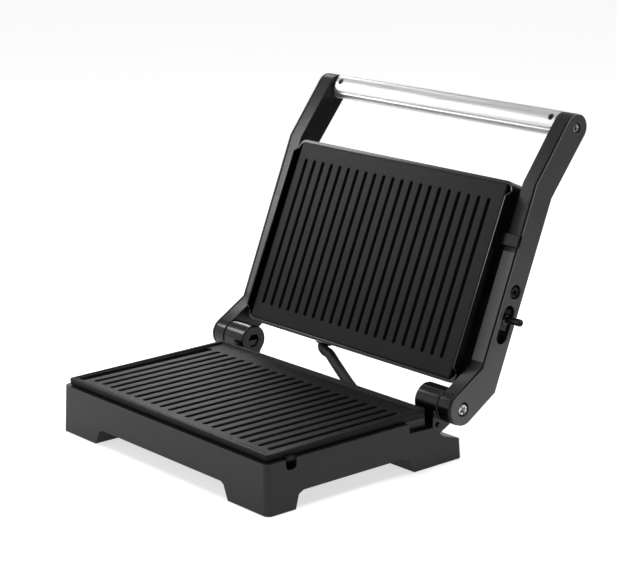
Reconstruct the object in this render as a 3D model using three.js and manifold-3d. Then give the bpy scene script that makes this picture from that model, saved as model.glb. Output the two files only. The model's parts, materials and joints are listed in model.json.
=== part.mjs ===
// Panini press (contact grill) with two ribbed plates, shown opened for use.
// Millimetres, +Z up, front of the press towards -Y, mirror plane of the press at X = 0.
import * as THREE from 'three';
import { mergeVertices } from 'three/addons/utils/BufferGeometryUtils.js';
import Module from 'manifold-3d';

const wasm = await Module();
wasm.setup();

// ---------------------------------------------------------------- driving dimensions
// Lower half: Y from the front of the base, Z from the table.
const BASE_WIDTH = 242;
const BASE_DEPTH = 184;
const BASE_TOP = 36.7;            // top edge of the skirt
const BASE_DRAFT = 1.8;           // side and rear walls lean in by this much
const FRONT_DRAFT = 0.6;
const BASE_CORNER = 4.5;
const FOOT_BOTTOM = 0.5;          // plastic foot, above the rubber pad
const FOOT_ARCH = 12.6;           // height of the arches between the feet
const WALL = 3;
const STEP_Y = 131.5;             // the skirt steps down to the rear deck here
const DECK_TOP = 29.8;
const DECK_END_Z = 15.2;          // rear end of the sloping deck
const PLATE_WIDTH = 232;
const PLATE_LENGTH = 147;
const PLATE_FRONT_Y = 3.7;
const PLATE_TOP = 43.7;           // top of the lower plate's rim
const HINGE_Y = 168.1;
const HINGE_Z = 43.9;
const HINGE_RADIUS = 12;
const OPEN_ANGLE = 112.6;         // degrees from closed to the pose shown

// Upper half: modelled closed, measured from the hinge axis, -Y towards the handle.
const ARM_INNER = 121.7;          // inner face of each arm from the mirror plane
const ARM_OUTER = 136.3;
const COVER_THICKNESS = 1.4;
const HANDLE_Y = -217.4;
const HANDLE_Z = 29.9;
const ARM_TIP_RADIUS = 9.6;
const LID_WIDTH = 235.2;
const LID_NEAR_Y = -15.1;         // lid edge beside the hinge
const LID_FAR_Y = -166.8;         // lid edge beside the handle
const LID_RIM_Z = 3.2;            // rim of the front and rear walls
const LID_SIDE_RIM_Z = 8;         // the side walls' rims are set back
const LID_TOP_Z = 34;
const LID_WALL = 2.5;
const UPPER_PLATE_WIDTH = 225;
const UPPER_PLATE_LENGTH = 146.2;
const UPPER_PLATE_FACE_Z = 1.9;
const PIVOT_Y = -91;              // lid floats on this axis
const PIVOT_Z = 17.4;

// Both grill plates.
const GROOVE_COUNT = 21;
const GROOVE_PITCH = 10.1;
const LOWER_GROOVE_WIDTH = 3.8;
const UPPER_GROOVE_WIDTH = 3;
const GROOVE_DEPTH = 3.5;
const PLATE_CORNER = 4;
const RIM_HEIGHT = 1.8;           // round the lower plate only
const RIM_WIDTH = 4;
const PLATE_SLAB = 4.8;           // land to underside of the flange
const PLATE_PAN = 4;              // thicker middle above the heater

const GAP = 0.3;                  // clearance between neighbouring pieces

// ---------------------------------------------------------------- materials
function finish(color, roughness, metalness) {
  return new THREE.MeshStandardMaterial({ color, roughness, metalness });
}

const charcoal = finish(0x2f3032, 0.5, 0);
const blackPlastic = finish(0x17181a, 0.4, 0);
const nonStick = finish(0x232426, 0.55, 0.2);
const armGrey = finish(0x55575a, 0.45, 0.1);
const silver = finish(0xd4d5d6, 0.3, 0.9);
const steel = finish(0xb8b9bb, 0.25, 1);
const blackSteel = finish(0x151515, 0.4, 0.6);
const sheetMetal = finish(0xa9abad, 0.4, 0.9);
const rubber = finish(0x121212, 0.9, 0);
const sleeve = finish(0x26272a, 0.8, 0);
const ceramic = finish(0xd8d2c4, 0.7, 0);
const redLens = finish(0xa01810, 0.2, 0);
const greenLens = finish(0x1d8a35, 0.2, 0);

// ---------------------------------------------------------------- solid helpers
function toSolid(geometry) {
  const bare = geometry.clone();
  bare.deleteAttribute('normal');
  bare.deleteAttribute('uv');
  const merged = mergeVertices(bare, 1e-4);
  return new wasm.Manifold(new wasm.Mesh({
    numProp: 3,
    vertProperties: Float32Array.from(merged.attributes.position.array),
    triVerts: Uint32Array.from(merged.index.array),
  }));
}

function toGeometry(solid) {
  const mesh = solid.getMesh();
  const geometry = new THREE.BufferGeometry();
  geometry.setAttribute('position', new THREE.BufferAttribute(mesh.vertProperties, 3));
  geometry.setIndex(new THREE.BufferAttribute(mesh.triVerts, 1));
  geometry.computeVertexNormals();
  return geometry;
}

function cut(solid, ...tools) {
  return tools.reduce((rest, tool) => rest.subtract(tool), solid);
}

function join(solid, ...others) {
  return others.reduce((sum, other) => sum.add(other), solid);
}

function block(x0, x1, y0, y1, z0, z1) {
  const geometry = new THREE.BoxGeometry(x1 - x0, y1 - y0, z1 - z0);
  geometry.translate((x0 + x1) / 2, (y0 + y1) / 2, (z0 + z1) / 2);
  return toSolid(geometry);
}

// A flat shape in X and Y, standing from z0 to z1.
function standing(shape, z0, z1, curveSegments = 4) {
  const geometry = new THREE.ExtrudeGeometry(shape, { depth: z1 - z0, bevelEnabled: false, curveSegments });
  geometry.translate(0, 0, z0);
  return toSolid(geometry);
}

// A side profile in Y and Z, running across the press from x0 to x1.
function across(shape, x0, x1, curveSegments = 8) {
  const geometry = new THREE.ExtrudeGeometry(shape, { depth: x1 - x0, bevelEnabled: false, curveSegments });
  const axes = new THREE.Matrix4().makeBasis(
    new THREE.Vector3(0, 1, 0), new THREE.Vector3(0, 0, 1), new THREE.Vector3(1, 0, 0));
  geometry.applyMatrix4(axes);
  geometry.translate(x0, 0, 0);
  return toSolid(geometry);
}

// A front profile in X and Z, running from y0 back to y1.
function backward(shape, y0, y1) {
  const geometry = new THREE.ExtrudeGeometry(shape, { depth: y1 - y0, bevelEnabled: false });
  const axes = new THREE.Matrix4().makeBasis(
    new THREE.Vector3(1, 0, 0), new THREE.Vector3(0, 0, 1), new THREE.Vector3(0, -1, 0));
  geometry.applyMatrix4(axes);
  geometry.translate(0, y1, 0);
  return toSolid(geometry);
}

// A round bar from one point to another, as a solid.
function rod(radius, from, to, sides = 16) {
  const a = new THREE.Vector3(...from);
  const b = new THREE.Vector3(...to);
  const geometry = new THREE.CylinderGeometry(radius, radius, a.distanceTo(b), sides);
  const turn = new THREE.Quaternion().setFromUnitVectors(
    new THREE.Vector3(0, 1, 0), b.clone().sub(a).normalize());
  geometry.applyQuaternion(turn);
  geometry.translate(...a.add(b).multiplyScalar(0.5).toArray());
  return toSolid(geometry);
}

function polygon(points) {
  return new THREE.Shape(points.map(([a, b]) => new THREE.Vector2(a, b)));
}

function roundedRectangle(x0, x1, y0, y1, radius) {
  const shape = new THREE.Shape();
  shape.moveTo(x0 + radius, y0);
  shape.absarc(x1 - radius, y0 + radius, radius, -Math.PI / 2, 0, false);
  shape.absarc(x1 - radius, y1 - radius, radius, 0, Math.PI / 2, false);
  shape.absarc(x0 + radius, y1 - radius, radius, Math.PI / 2, Math.PI, false);
  shape.absarc(x0 + radius, y0 + radius, radius, Math.PI, Math.PI * 1.5, false);
  return shape;
}

// The point where a line from an outside point touches a circle.
function tangent(px, py, cx, cy, radius, side) {
  const distance = Math.hypot(px - cx, py - cy);
  const angle = Math.atan2(py - cy, px - cx) + side * Math.acos(radius / distance);
  return { x: cx + radius * Math.cos(angle), y: cy + radius * Math.sin(angle), angle };
}

// ---------------------------------------------------------------- scene graph
const press = new THREE.Group();
const lower = new THREE.Group();
const upper = new THREE.Group();
upper.position.set(0, HINGE_Y, HINGE_Z);
upper.rotation.x = -THREE.MathUtils.degToRad(OPEN_ANGLE);
press.add(lower, upper);

function addPart(group, name, shape, material) {
  const geometry = shape.isBufferGeometry ? shape : toGeometry(shape);
  const mesh = new THREE.Mesh(geometry, material);
  mesh.name = name;
  group.add(mesh);
}

const SIDES = [['left', -1], ['right', 1]];

// ---------------------------------------------------------------- grill plates
// Local frame: centre of the plate in X and Y, top at z = 0, cooking face up.
function ribbedSlab({ width, length, land, grooveWidth, frontBorder, rearBorder, rim }) {
  const halfWidth = width / 2;
  const halfLength = length / 2;
  const slabBottom = land - PLATE_SLAB;
  const outline = roundedRectangle(-halfWidth, halfWidth, -halfLength, halfLength, PLATE_CORNER);
  const panInset = 11;
  let plate = rim(standing(outline, slabBottom, 0));
  plate = join(plate, block(panInset - halfWidth, halfWidth - panInset,
    8 - halfLength, halfLength - 8, slabBottom - PLATE_PAN, slabBottom + 1));
  for (let i = 0; i < GROOVE_COUNT; i += 1) {
    const x = (i - (GROOVE_COUNT - 2) / 2) * GROOVE_PITCH;
    const slot = roundedRectangle(x - grooveWidth / 2, x + grooveWidth / 2,
      frontBorder - halfLength, halfLength - rearBorder, grooveWidth / 2 - 0.01);
    plate = plate.subtract(standing(slot, land - GROOVE_DEPTH, 1, 2));
  }
  return plate;
}

// The lower plate's rim runs round three sides and is left open at the drain lip's corner.
function lowerRim(slab) {
  const halfWidth = PLATE_WIDTH / 2;
  const halfLength = PLATE_LENGTH / 2;
  const openCorner = 32;
  const field = roundedRectangle(
    RIM_WIDTH - halfWidth, halfWidth - RIM_WIDTH, -halfLength - 2 * RIM_WIDTH, halfLength - RIM_WIDTH, 4);
  const lip = block(halfWidth - 5, halfWidth + 3.3, 14.5 - halfLength, 22.3 - halfLength,
    -RIM_HEIGHT - PLATE_SLAB - 2, -RIM_HEIGHT - PLATE_SLAB + 1);
  return join(cut(slab,
    standing(field, -RIM_HEIGHT, 1),
    block(halfWidth - 2 * RIM_WIDTH, halfWidth + 1,
      -halfLength - 1, openCorner - halfLength, -RIM_HEIGHT, 1)), lip);
}

const lowerPlate = ribbedSlab({
  width: PLATE_WIDTH, length: PLATE_LENGTH, land: -RIM_HEIGHT, grooveWidth: LOWER_GROOVE_WIDTH,
  frontBorder: 9.5, rearBorder: 18.8, rim: lowerRim,
}).translate([0, PLATE_FRONT_Y + PLATE_LENGTH / 2, PLATE_TOP]);
addPart(lower, 'lower_grill_plate', lowerPlate, nonStick);

const upperPlate = ribbedSlab({
  width: UPPER_PLATE_WIDTH, length: UPPER_PLATE_LENGTH, land: 0, grooveWidth: UPPER_GROOVE_WIDTH,
  frontBorder: 12.6, rearBorder: 12.6, rim: (slab) => slab,
}).rotate([0, 180, 0]).translate([0, (LID_NEAR_Y + LID_FAR_Y) / 2, UPPER_PLATE_FACE_Z]);
addPart(upper, 'upper_grill_plate', upperPlate, nonStick);

// ---------------------------------------------------------------- base housing
const FLOOR_TOP = FOOT_ARCH + 2.5;
const CAVITY_HALF_WIDTH = 111.4;
const GLAND_X = -62;              // inlet for the mains lead, on the rear slope
const GLAND_Z = 22;
const GLAND_RADIUS = 5.5;
const GLAND_FLANGE = 7;
const PAD_RADIUS = 8;
const PAD_TOP = 3;
const PAD_CENTRES = [[-99, 14], [99, 14], [-99, 160], [99, 160]];
const BOTTOM_SCREWS = [[-60, 35.5], [60, 35.5], [-60, 125], [60, 125]];
const halfBase = BASE_WIDTH / 2;
const baseProfile = [
  [0, FOOT_BOTTOM], [FRONT_DRAFT, BASE_TOP], [STEP_Y, BASE_TOP], [STEP_Y, DECK_TOP],
  [154.4, DECK_TOP - 0.8], [158.7, 25.3], [165.1, 20.6], [BASE_DEPTH - BASE_DRAFT, DECK_END_Z],
  [BASE_DEPTH, FOOT_BOTTOM],
];

function baseBlock() {
  const plan = roundedRectangle(-halfBase, halfBase, 0, BASE_DEPTH, BASE_CORNER);
  const geometry = new THREE.ExtrudeGeometry(plan, {
    depth: BASE_TOP - FOOT_BOTTOM, bevelEnabled: false, curveSegments: 5,
  });
  geometry.translate(0, 0, FOOT_BOTTOM);
  const points = geometry.attributes.position;
  for (let i = 0; i < points.count; i += 1) {
    if (points.getZ(i) > FOOT_ARCH) {
      points.setX(i, points.getX(i) * (1 - BASE_DRAFT / halfBase));
      points.setY(i, FRONT_DRAFT + points.getY(i) * (1 - (FRONT_DRAFT + BASE_DRAFT) / BASE_DEPTH));
    }
  }
  return toSolid(geometry).intersect(across(polygon(baseProfile), -halfBase - 1, halfBase + 1));
}

function baseHousing() {
  const cavity = across(polygon([
    [4.5, FLOOR_TOP], [168, FLOOR_TOP], [163.8, 17.8], [153.2, DECK_TOP - WALL], [149.5, DECK_TOP - WALL],
    [149.5, BASE_TOP - WALL], [4.5, BASE_TOP - WALL],
  ]), -CAVITY_HALF_WIDTH, CAVITY_HALF_WIDTH);
  const frontArch = backward(polygon([
    [-78.9, -1], [78.9, -1], [73, FOOT_ARCH - 1.5], [70.5, FOOT_ARCH],
    [-70.5, FOOT_ARCH], [-73, FOOT_ARCH - 1.5],
  ]), -1, BASE_DEPTH + 1);
  const sideArch = across(polygon([
    [24.3, -1], [135.9, -1], [131.4, 9.4], [127.8, FOOT_ARCH], [32, FOOT_ARCH], [27.8, 11],
  ]), -halfBase - 1, halfBase + 1);
  const plateWell = block(-106, 106, 9, 146.5, BASE_TOP - WALL - 1, BASE_TOP + 1);
  const serviceOpening = block(-104, 104, 39, 121, FOOT_ARCH - 1, FLOOR_TOP + 1);
  const drainNotch = block(110, halfBase + 1, 17.4, 26.8, 28.5, BASE_TOP + 1);
  let housing = join(baseBlock(), block(-114.6, 114.6, STEP_Y - 4, 152.5, DECK_TOP - 2, BASE_TOP));
  housing = cut(housing, cavity, frontArch, sideArch, plateWell, serviceOpening, drainNotch);
  for (const [x, y] of PAD_CENTRES) {
    housing = housing.subtract(rod(PAD_RADIUS + GAP, [x, y, 0], [x, y, PAD_TOP + GAP]));
  }
  for (const [x, y] of BOTTOM_SCREWS) {
    housing = housing.subtract(rod(1.7, [x, y, FOOT_ARCH - 1], [x, y, FLOOR_TOP + 1], 12));
  }
  housing = cut(housing,
    rod(GLAND_RADIUS + GAP, [GLAND_X, 160, GLAND_Z], [GLAND_X, BASE_DEPTH, GLAND_Z]),
    rod(GLAND_FLANGE + GAP, [GLAND_X, 166.2, GLAND_Z], [GLAND_X, 169.8, GLAND_Z]));
  return housing;
}

addPart(lower, 'base_housing', baseHousing(), charcoal);

const CORNER_NAMES = ['front_left', 'front_right', 'rear_left', 'rear_right'];
PAD_CENTRES.forEach(([x, y], i) => {
  addPart(lower, `foot_pad_${CORNER_NAMES[i]}`, rod(PAD_RADIUS, [x, y, 0], [x, y, PAD_TOP]), rubber);
});

// ---------------------------------------------------------------- bottom cover and its screws
const COVER_BOTTOM = FLOOR_TOP + GAP;
const COVER_TOP = COVER_BOTTOM + 2;

function bottomCover() {
  let cover = block(-107, 107, 31, 129, COVER_BOTTOM, COVER_TOP);
  for (let i = -4; i <= 4; i += 1) {
    cover = cover.subtract(block(i * 20 - 6, i * 20 + 6, 70, 74, COVER_BOTTOM - 1, COVER_TOP + 1));
  }
  for (const [x, y] of BOTTOM_SCREWS) {
    cover = cover.subtract(rod(1.7, [x, y, COVER_BOTTOM - 1], [x, y, COVER_TOP + 1], 12));
  }
  return cover;
}

addPart(lower, 'bottom_cover', bottomCover(), blackPlastic);
BOTTOM_SCREWS.forEach(([x, y], i) => {
  const screw = join(
    rod(3, [x, y, FOOT_ARCH - GAP - 1.6], [x, y, FOOT_ARCH - GAP], 16),
    rod(1.3, [x, y, FOOT_ARCH - 1], [x, y, COVER_TOP + 1], 12));
  addPart(lower, `bottom_screw_${CORNER_NAMES[i]}`, screw, steel);
});

// ---------------------------------------------------------------- heaters
// An open tray of thin sheet; floorSide -1 puts the floor below, 1 above.
function reflectorTray(halfWidth, y0, y1, z0, z1, floorSide) {
  const sheet = 1.2;
  const inside = floorSide < 0 ? [z0 + sheet, z1 + 1] : [z0 - 1, z1 - sheet];
  return cut(
    block(-halfWidth, halfWidth, y0, y1, z0, z1),
    block(sheet - halfWidth, halfWidth - sheet, y0 + sheet, y1 - sheet, ...inside));
}

// A sheathed rod bent to a rounded loop whose two ends leave side by side.
function heatingElement(halfWidth, frontY, turnY, endY, z, radius) {
  const bend = 12;
  const stem = 20;
  const corners = [
    [-stem, endY], [-stem, turnY], [-halfWidth, turnY], [-halfWidth, frontY],
    [halfWidth, frontY], [halfWidth, turnY], [stem, turnY], [stem, endY],
  ].map(([x, y]) => new THREE.Vector3(x, y, z));
  const path = new THREE.CurvePath();
  let from = corners[0];
  for (let i = 1; i < corners.length - 1; i += 1) {
    const before = corners[i].clone().lerp(corners[i - 1], bend / corners[i].distanceTo(corners[i - 1]));
    const after = corners[i].clone().lerp(corners[i + 1], bend / corners[i].distanceTo(corners[i + 1]));
    path.add(new THREE.LineCurve3(from, before));
    path.add(new THREE.QuadraticBezierCurve3(before, corners[i], after));
    from = after;
  }
  path.add(new THREE.LineCurve3(from, corners[corners.length - 1]));
  return sweep(path, radius, 6, 60);
}

// A round section carried along a curve, closed at both ends.
function sweep(path, radius, sides, steps) {
  const section = new THREE.Shape();
  section.absarc(0, 0, radius, 0, Math.PI * 2, false);
  return new THREE.ExtrudeGeometry(section, {
    steps, curveSegments: sides / 2, extrudePath: path, bevelEnabled: false,
  });
}

const LOWER_TRAY_REAR = 132;
const ELEMENT_RADIUS = 3.2;
const lowerElementZ = PLATE_TOP - RIM_HEIGHT - PLATE_SLAB - PLATE_PAN - GAP - ELEMENT_RADIUS;
const elementPort = (x, y, z) => rod(ELEMENT_RADIUS + 0.5, [x, y - 3, z], [x, y + 3, z], 12);
const lowerTray = cut(
  reflectorTray(103, 12.5, LOWER_TRAY_REAR, 20.5, 32.6, -1),
  elementPort(-20, LOWER_TRAY_REAR, lowerElementZ), elementPort(20, LOWER_TRAY_REAR, lowerElementZ));
addPart(lower, 'lower_heat_reflector', lowerTray, sheetMetal);
addPart(lower, 'lower_heating_element',
  heatingElement(88, 30, 112, 136, lowerElementZ, ELEMENT_RADIUS), steel);
addPart(lower, 'lower_thermostat', rod(10, [0, 70, 22.1], [0, 70, 32.6]), ceramic);
addPart(lower, 'lower_thermal_fuse', rod(2.5, [32, 70, 26], [58, 70, 26], 12), steel);
addPart(lower, 'terminal_block', block(-18, 18, 138.5, 148, FLOOR_TOP + GAP, 26.5), ceramic);

const UPPER_TRAY_Z = [12.5, 24];
const UPPER_TRAY_NEAR_Y = -26;
const upperElementZ = UPPER_PLATE_FACE_Z + PLATE_SLAB + PLATE_PAN + GAP + ELEMENT_RADIUS;
const upperTray = cut(
  reflectorTray(104, -156, UPPER_TRAY_NEAR_Y, ...UPPER_TRAY_Z, 1),
  elementPort(-20, UPPER_TRAY_NEAR_Y, upperElementZ), elementPort(20, UPPER_TRAY_NEAR_Y, upperElementZ));
addPart(upper, 'upper_heat_reflector', upperTray, sheetMetal);
addPart(upper, 'upper_heating_element',
  heatingElement(88, -136, -46, -22, upperElementZ, ELEMENT_RADIUS), steel);
addPart(upper, 'upper_thermostat', rod(10, [0, -91, 12.6], [0, -91, 22.4]), ceramic);
addPart(upper, 'upper_thermal_fuse', rod(2.5, [32, -91, 18], [58, -91, 18], 12), steel);

// ---------------------------------------------------------------- hinge brackets on the rear deck
const BARREL_INNER = 98.3;
const BARREL_OUTER = ARM_INNER - GAP;
const BOLT_RADIUS = 4;
const BOLT_HEAD_RADIUS = 4.3;

function hexagon(radius, y, z) {
  const corners = [];
  for (let i = 0; i < 6; i += 1) {
    const angle = i * Math.PI / 3;
    corners.push([y + radius * Math.sin(angle), z + radius * Math.cos(angle)]);
  }
  return polygon(corners);
}

// Right-hand bracket: a barrel on a leg that stands on the sloping rear deck.
function hingeBracket() {
  const barrel = rod(HINGE_RADIUS, [BARREL_INNER, HINGE_Y, HINGE_Z], [BARREL_OUTER, HINGE_Y, HINGE_Z], 28);
  const leg = across(polygon([
    [156.4, HINGE_Z], [156.4, 27.8], [159, 25.6], [163.4, 22.4], [173.5, 27.4], [179.4, HINGE_Z - 3.5],
    [179.4, HINGE_Z],
  ]), 99.6, 117.6);
  const bore = rod(
    BOLT_RADIUS + GAP, [BARREL_INNER - 1, HINGE_Y, HINGE_Z], [BARREL_OUTER + 1, HINGE_Y, HINGE_Z]);
  const pocket = across(hexagon(6.2, HINGE_Y, HINGE_Z), BARREL_INNER - 1, 105);
  const screwHole = rod(1.5, [118, 162, 29], [110, 162, 29], 12);
  return cut(join(barrel, leg), bore, pocket, screwHole);
}

for (const [side, sign] of SIDES) {
  const place = (solid) => (sign > 0 ? solid : solid.mirror([1, 0, 0]));
  addPart(lower, `hinge_bracket_${side}`, place(hingeBracket()), blackPlastic);
  addPart(lower, `bracket_screw_${side}`, place(join(
    rod(2, [118, 162, 29], [119, 162, 29], 12), rod(1.1, [118.5, 162, 29], [111, 162, 29], 12))), blackSteel);
  addPart(lower, `hinge_bolt_${side}`, place(join(
    rod(BOLT_RADIUS, [101, HINGE_Y, HINGE_Z], [ARM_OUTER - 1, HINGE_Y, HINGE_Z]),
    rod(BOLT_HEAD_RADIUS,
      [ARM_OUTER - COVER_THICKNESS, HINGE_Y, HINGE_Z], [ARM_OUTER - 0.4, HINGE_Y, HINGE_Z]))),
    steel);
  addPart(lower, `hinge_nut_${side}`, place(cut(
    across(hexagon(5.8, HINGE_Y, HINGE_Z), 100.2, 104.6),
    rod(BOLT_RADIUS + GAP, [99, HINGE_Y, HINGE_Z], [106, HINGE_Y, HINGE_Z]))), blackSteel);
}

// ---------------------------------------------------------------- arms
const LOWER_BEND_TOP = [-17.6, 27.4];
const LOWER_BEND_UNDER = [-32, 8.6];
const UPPER_BEND_TOP = [-163.3, 25.4];
const UPPER_BEND_UNDER = [-168.3, 6.5];

function armOutline() {
  const hingeUnder = tangent(...LOWER_BEND_UNDER, 0, 0, HINGE_RADIUS, 1);
  const hingeTop = tangent(...LOWER_BEND_TOP, 0, 0, HINGE_RADIUS, -1);
  const tipTop = tangent(...UPPER_BEND_TOP, HANDLE_Y, HANDLE_Z, ARM_TIP_RADIUS, 1);
  const tipUnder = tangent(...UPPER_BEND_UNDER, HANDLE_Y, HANDLE_Z, ARM_TIP_RADIUS, -1);
  const shape = new THREE.Shape();
  shape.moveTo(hingeUnder.x, hingeUnder.y);
  shape.absarc(0, 0, HINGE_RADIUS, hingeUnder.angle, hingeTop.angle, false);
  shape.lineTo(...LOWER_BEND_TOP);
  shape.lineTo(...UPPER_BEND_TOP);
  shape.absarc(HANDLE_Y, HANDLE_Z, ARM_TIP_RADIUS, tipTop.angle, tipUnder.angle, false);
  shape.lineTo(...UPPER_BEND_UNDER);
  shape.lineTo(...LOWER_BEND_UNDER);
  shape.closePath();
  return shape;
}

const FRAME_OUTER = ARM_OUTER - COVER_THICKNESS - GAP;
const POCKET_INNER = FRAME_OUTER - 3.3;
const LOCK_SLOT = { y0: -80.8, y1: -52, z0: 11.7, z1: 22.7 };
const LOCK_TRAVEL = 12;
const HOOK = { y0: -130.4, y1: -120.9, z0: 4.4, z1: 6.7 };

// Right-hand arm frame with the pocket for the lock bar behind the outer cover.
function armFrame(withLock) {
  const bores = [
    rod(BOLT_RADIUS + GAP, [ARM_INNER - 1, 0, 0], [FRAME_OUTER + 1, 0, 0]),
    rod(3.3, [ARM_INNER - 1, PIVOT_Y, PIVOT_Z], [FRAME_OUTER + 1, PIVOT_Y, PIVOT_Z]),
    rod(2.3, [ARM_INNER - 1, HANDLE_Y, HANDLE_Z], [FRAME_OUTER + 1, HANDLE_Y, HANDLE_Z], 16),
    block(POCKET_INNER, FRAME_OUTER + 1, -136, -49, 9.4, 24.4),
  ];
  if (withLock) {
    bores.push(block(POCKET_INNER, FRAME_OUTER + 1, HOOK.y0 - 0.6, HOOK.y1 + LOCK_TRAVEL + 0.6, 5, 10));
  }
  return cut(across(armOutline(), ARM_INNER, FRAME_OUTER, 9), ...bores);
}

function armCover(withLock) {
  const inner = FRAME_OUTER + GAP;
  const openings = [
    rod(5.4, [inner - 1, 0, 0], [ARM_OUTER + 1, 0, 0]),
    rod(5.6, [inner - 1, PIVOT_Y, PIVOT_Z], [ARM_OUTER + 1, PIVOT_Y, PIVOT_Z]),
    rod(4.2, [inner - 1, HANDLE_Y, HANDLE_Z], [ARM_OUTER + 1, HANDLE_Y, HANDLE_Z]),
  ];
  if (withLock) {
    const { y0, y1, z0, z1 } = LOCK_SLOT;
    openings.push(across(roundedRectangle(y0, y1, z0, z1, (z1 - z0) / 2 - 0.01), inner - 1, ARM_OUTER + 1));
  }
  return cut(across(armOutline(), inner, ARM_OUTER, 9), ...openings);
}

for (const [side, sign] of SIDES) {
  const place = (solid) => (sign > 0 ? solid : solid.mirror([1, 0, 0]));
  addPart(upper, `arm_frame_${side}`, place(armFrame(sign > 0)), charcoal);
  addPart(upper, `arm_cover_${side}`, place(armCover(sign > 0)), armGrey);
  addPart(upper, `pivot_screw_${side}`, place(join(
    rod(3, [109.5, PIVOT_Y, PIVOT_Z], [FRAME_OUTER, PIVOT_Y, PIVOT_Z]),
    rod(4.4, [FRAME_OUTER + GAP, PIVOT_Y, PIVOT_Z], [ARM_OUTER - 1, PIVOT_Y, PIVOT_Z]),
    rod(3, [FRAME_OUTER - 1, PIVOT_Y, PIVOT_Z], [ARM_OUTER - 1.1, PIVOT_Y, PIVOT_Z]))), steel);
  addPart(upper, `pivot_bush_${side}`, place(cut(
    rod(7, [LID_WIDTH / 2 + GAP, PIVOT_Y, PIVOT_Z], [ARM_INNER - GAP, PIVOT_Y, PIVOT_Z]),
    rod(3.3, [LID_WIDTH / 2, PIVOT_Y, PIVOT_Z], [ARM_INNER, PIVOT_Y, PIVOT_Z]))), blackPlastic);
  addPart(upper, `handle_screw_${side}`, place(join(
    rod(2, [113, HANDLE_Y, HANDLE_Z], [ARM_OUTER - 0.8, HANDLE_Y, HANDLE_Z], 16),
    rod(3.3, [FRAME_OUTER + GAP, HANDLE_Y, HANDLE_Z], [ARM_OUTER - 0.6, HANDLE_Y, HANDLE_Z]))), steel);
}

// ---------------------------------------------------------------- handle
const HANDLE_HALF_LENGTH = ARM_INNER - GAP;
const HANDLE_HALF_WIDTH = 10.15;
const HANDLE_HALF_THICKNESS = 6.6;
const HANDLE_CENTRE_Y = HANDLE_Y - 1.65;
const HANDLE_CENTRE_Z = HANDLE_Z - 0.2;
const INSERT_TOP_Z = HANDLE_CENTRE_Z - 2;
const INSERT_NEAR_Y = HANDLE_CENTRE_Y + 5.65;
const FACE_SCREW_X = 114.3;
const FACE_SCREW_Y = HANDLE_CENTRE_Y - 2.35;

function handleOval() {
  const oval = new THREE.Shape();
  oval.absellipse(HANDLE_CENTRE_Y, HANDLE_CENTRE_Z, HANDLE_HALF_WIDTH, HANDLE_HALF_THICKNESS,
    0, Math.PI * 2, false, 0);
  return across(oval, -HANDLE_HALF_LENGTH, HANDLE_HALF_LENGTH, 12);
}

// The insert closes the underside of the shell; a shadow gap runs along its hinge-side edge.
function insertBlank(clearance, cornerRadius) {
  const reach = HANDLE_HALF_LENGTH - 0.8 + clearance;
  const plan = roundedRectangle(
    -reach, reach, HANDLE_CENTRE_Y - 14, INSERT_NEAR_Y + 4 * clearance, cornerRadius);
  return standing(plan, HANDLE_CENTRE_Z - 10, INSERT_TOP_Z + clearance);
}

let handleShell = handleOval().subtract(insertBlank(GAP, 7.2));
let handleInsert = handleOval().intersect(insertBlank(0, 7));
for (const [side, sign] of SIDES) {
  const x = sign * FACE_SCREW_X;
  handleShell = cut(handleShell,
    rod(2.3, [sign * 112, HANDLE_Y, HANDLE_Z], [sign * 123, HANDLE_Y, HANDLE_Z], 16),
    rod(1.5, [x, FACE_SCREW_Y, INSERT_TOP_Z - 1], [x, FACE_SCREW_Y, INSERT_TOP_Z + 1.2], 12));
  handleInsert = cut(handleInsert,
    rod(2.6, [x, FACE_SCREW_Y, HANDLE_CENTRE_Z - 8], [x, FACE_SCREW_Y, INSERT_TOP_Z - 2]),
    rod(1.5, [x, FACE_SCREW_Y, INSERT_TOP_Z - 3], [x, FACE_SCREW_Y, INSERT_TOP_Z + 1], 12));
  addPart(upper, `handle_face_screw_${side}`, join(
    rod(2.2, [x, FACE_SCREW_Y, INSERT_TOP_Z - 3.9], [x, FACE_SCREW_Y, INSERT_TOP_Z - 2 - GAP], 16),
    rod(1.1, [x, FACE_SCREW_Y, INSERT_TOP_Z - 3], [x, FACE_SCREW_Y, INSERT_TOP_Z + 1], 12)), blackSteel);
}
addPart(upper, 'handle_shell', handleShell, silver);
addPart(upper, 'handle_insert', handleInsert, silver);

// ---------------------------------------------------------------- lid lock on the right arm
const KNOB_Y = -70.5;
const KNOB_Z = 17.4;
const KNOB_REACH = 13;
const BAR_INNER = POCKET_INNER + GAP;
const BAR_OUTER = FRAME_OUTER - GAP;

function lockBar() {
  const bar = block(BAR_INNER, BAR_OUTER, HOOK.y0, -62, 9.8, 12.8);
  const shoe = block(BAR_INNER, BAR_OUTER, -78, -62, 9.8, 23.6);
  const riser = block(BAR_INNER, BAR_OUTER, HOOK.y0, HOOK.y1, HOOK.z0, 12.8);
  const strap = block(118.2, ARM_OUTER - 0.1, HOOK.y0, HOOK.y1, HOOK.z0, HOOK.z1);
  const knobSocket = rod(1.8, [BAR_INNER - 1, KNOB_Y, KNOB_Z], [BAR_OUTER + 1, KNOB_Y, KNOB_Z], 12);
  return cut(join(bar, shoe, riser, strap), knobSocket);
}

function lockKnob() {
  return join(
    rod(1.5, [BAR_INNER, KNOB_Y, KNOB_Z], [FRAME_OUTER + 1, KNOB_Y, KNOB_Z], 12),
    rod(4.6, [FRAME_OUTER, KNOB_Y, KNOB_Z], [ARM_OUTER - 0.8, KNOB_Y, KNOB_Z]),
    rod(2.7, [FRAME_OUTER, KNOB_Y, KNOB_Z], [ARM_OUTER + KNOB_REACH, KNOB_Y, KNOB_Z]));
}

addPart(upper, 'lock_bar', lockBar(), blackPlastic);
addPart(upper, 'lock_knob', lockKnob(), blackPlastic);

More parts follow.
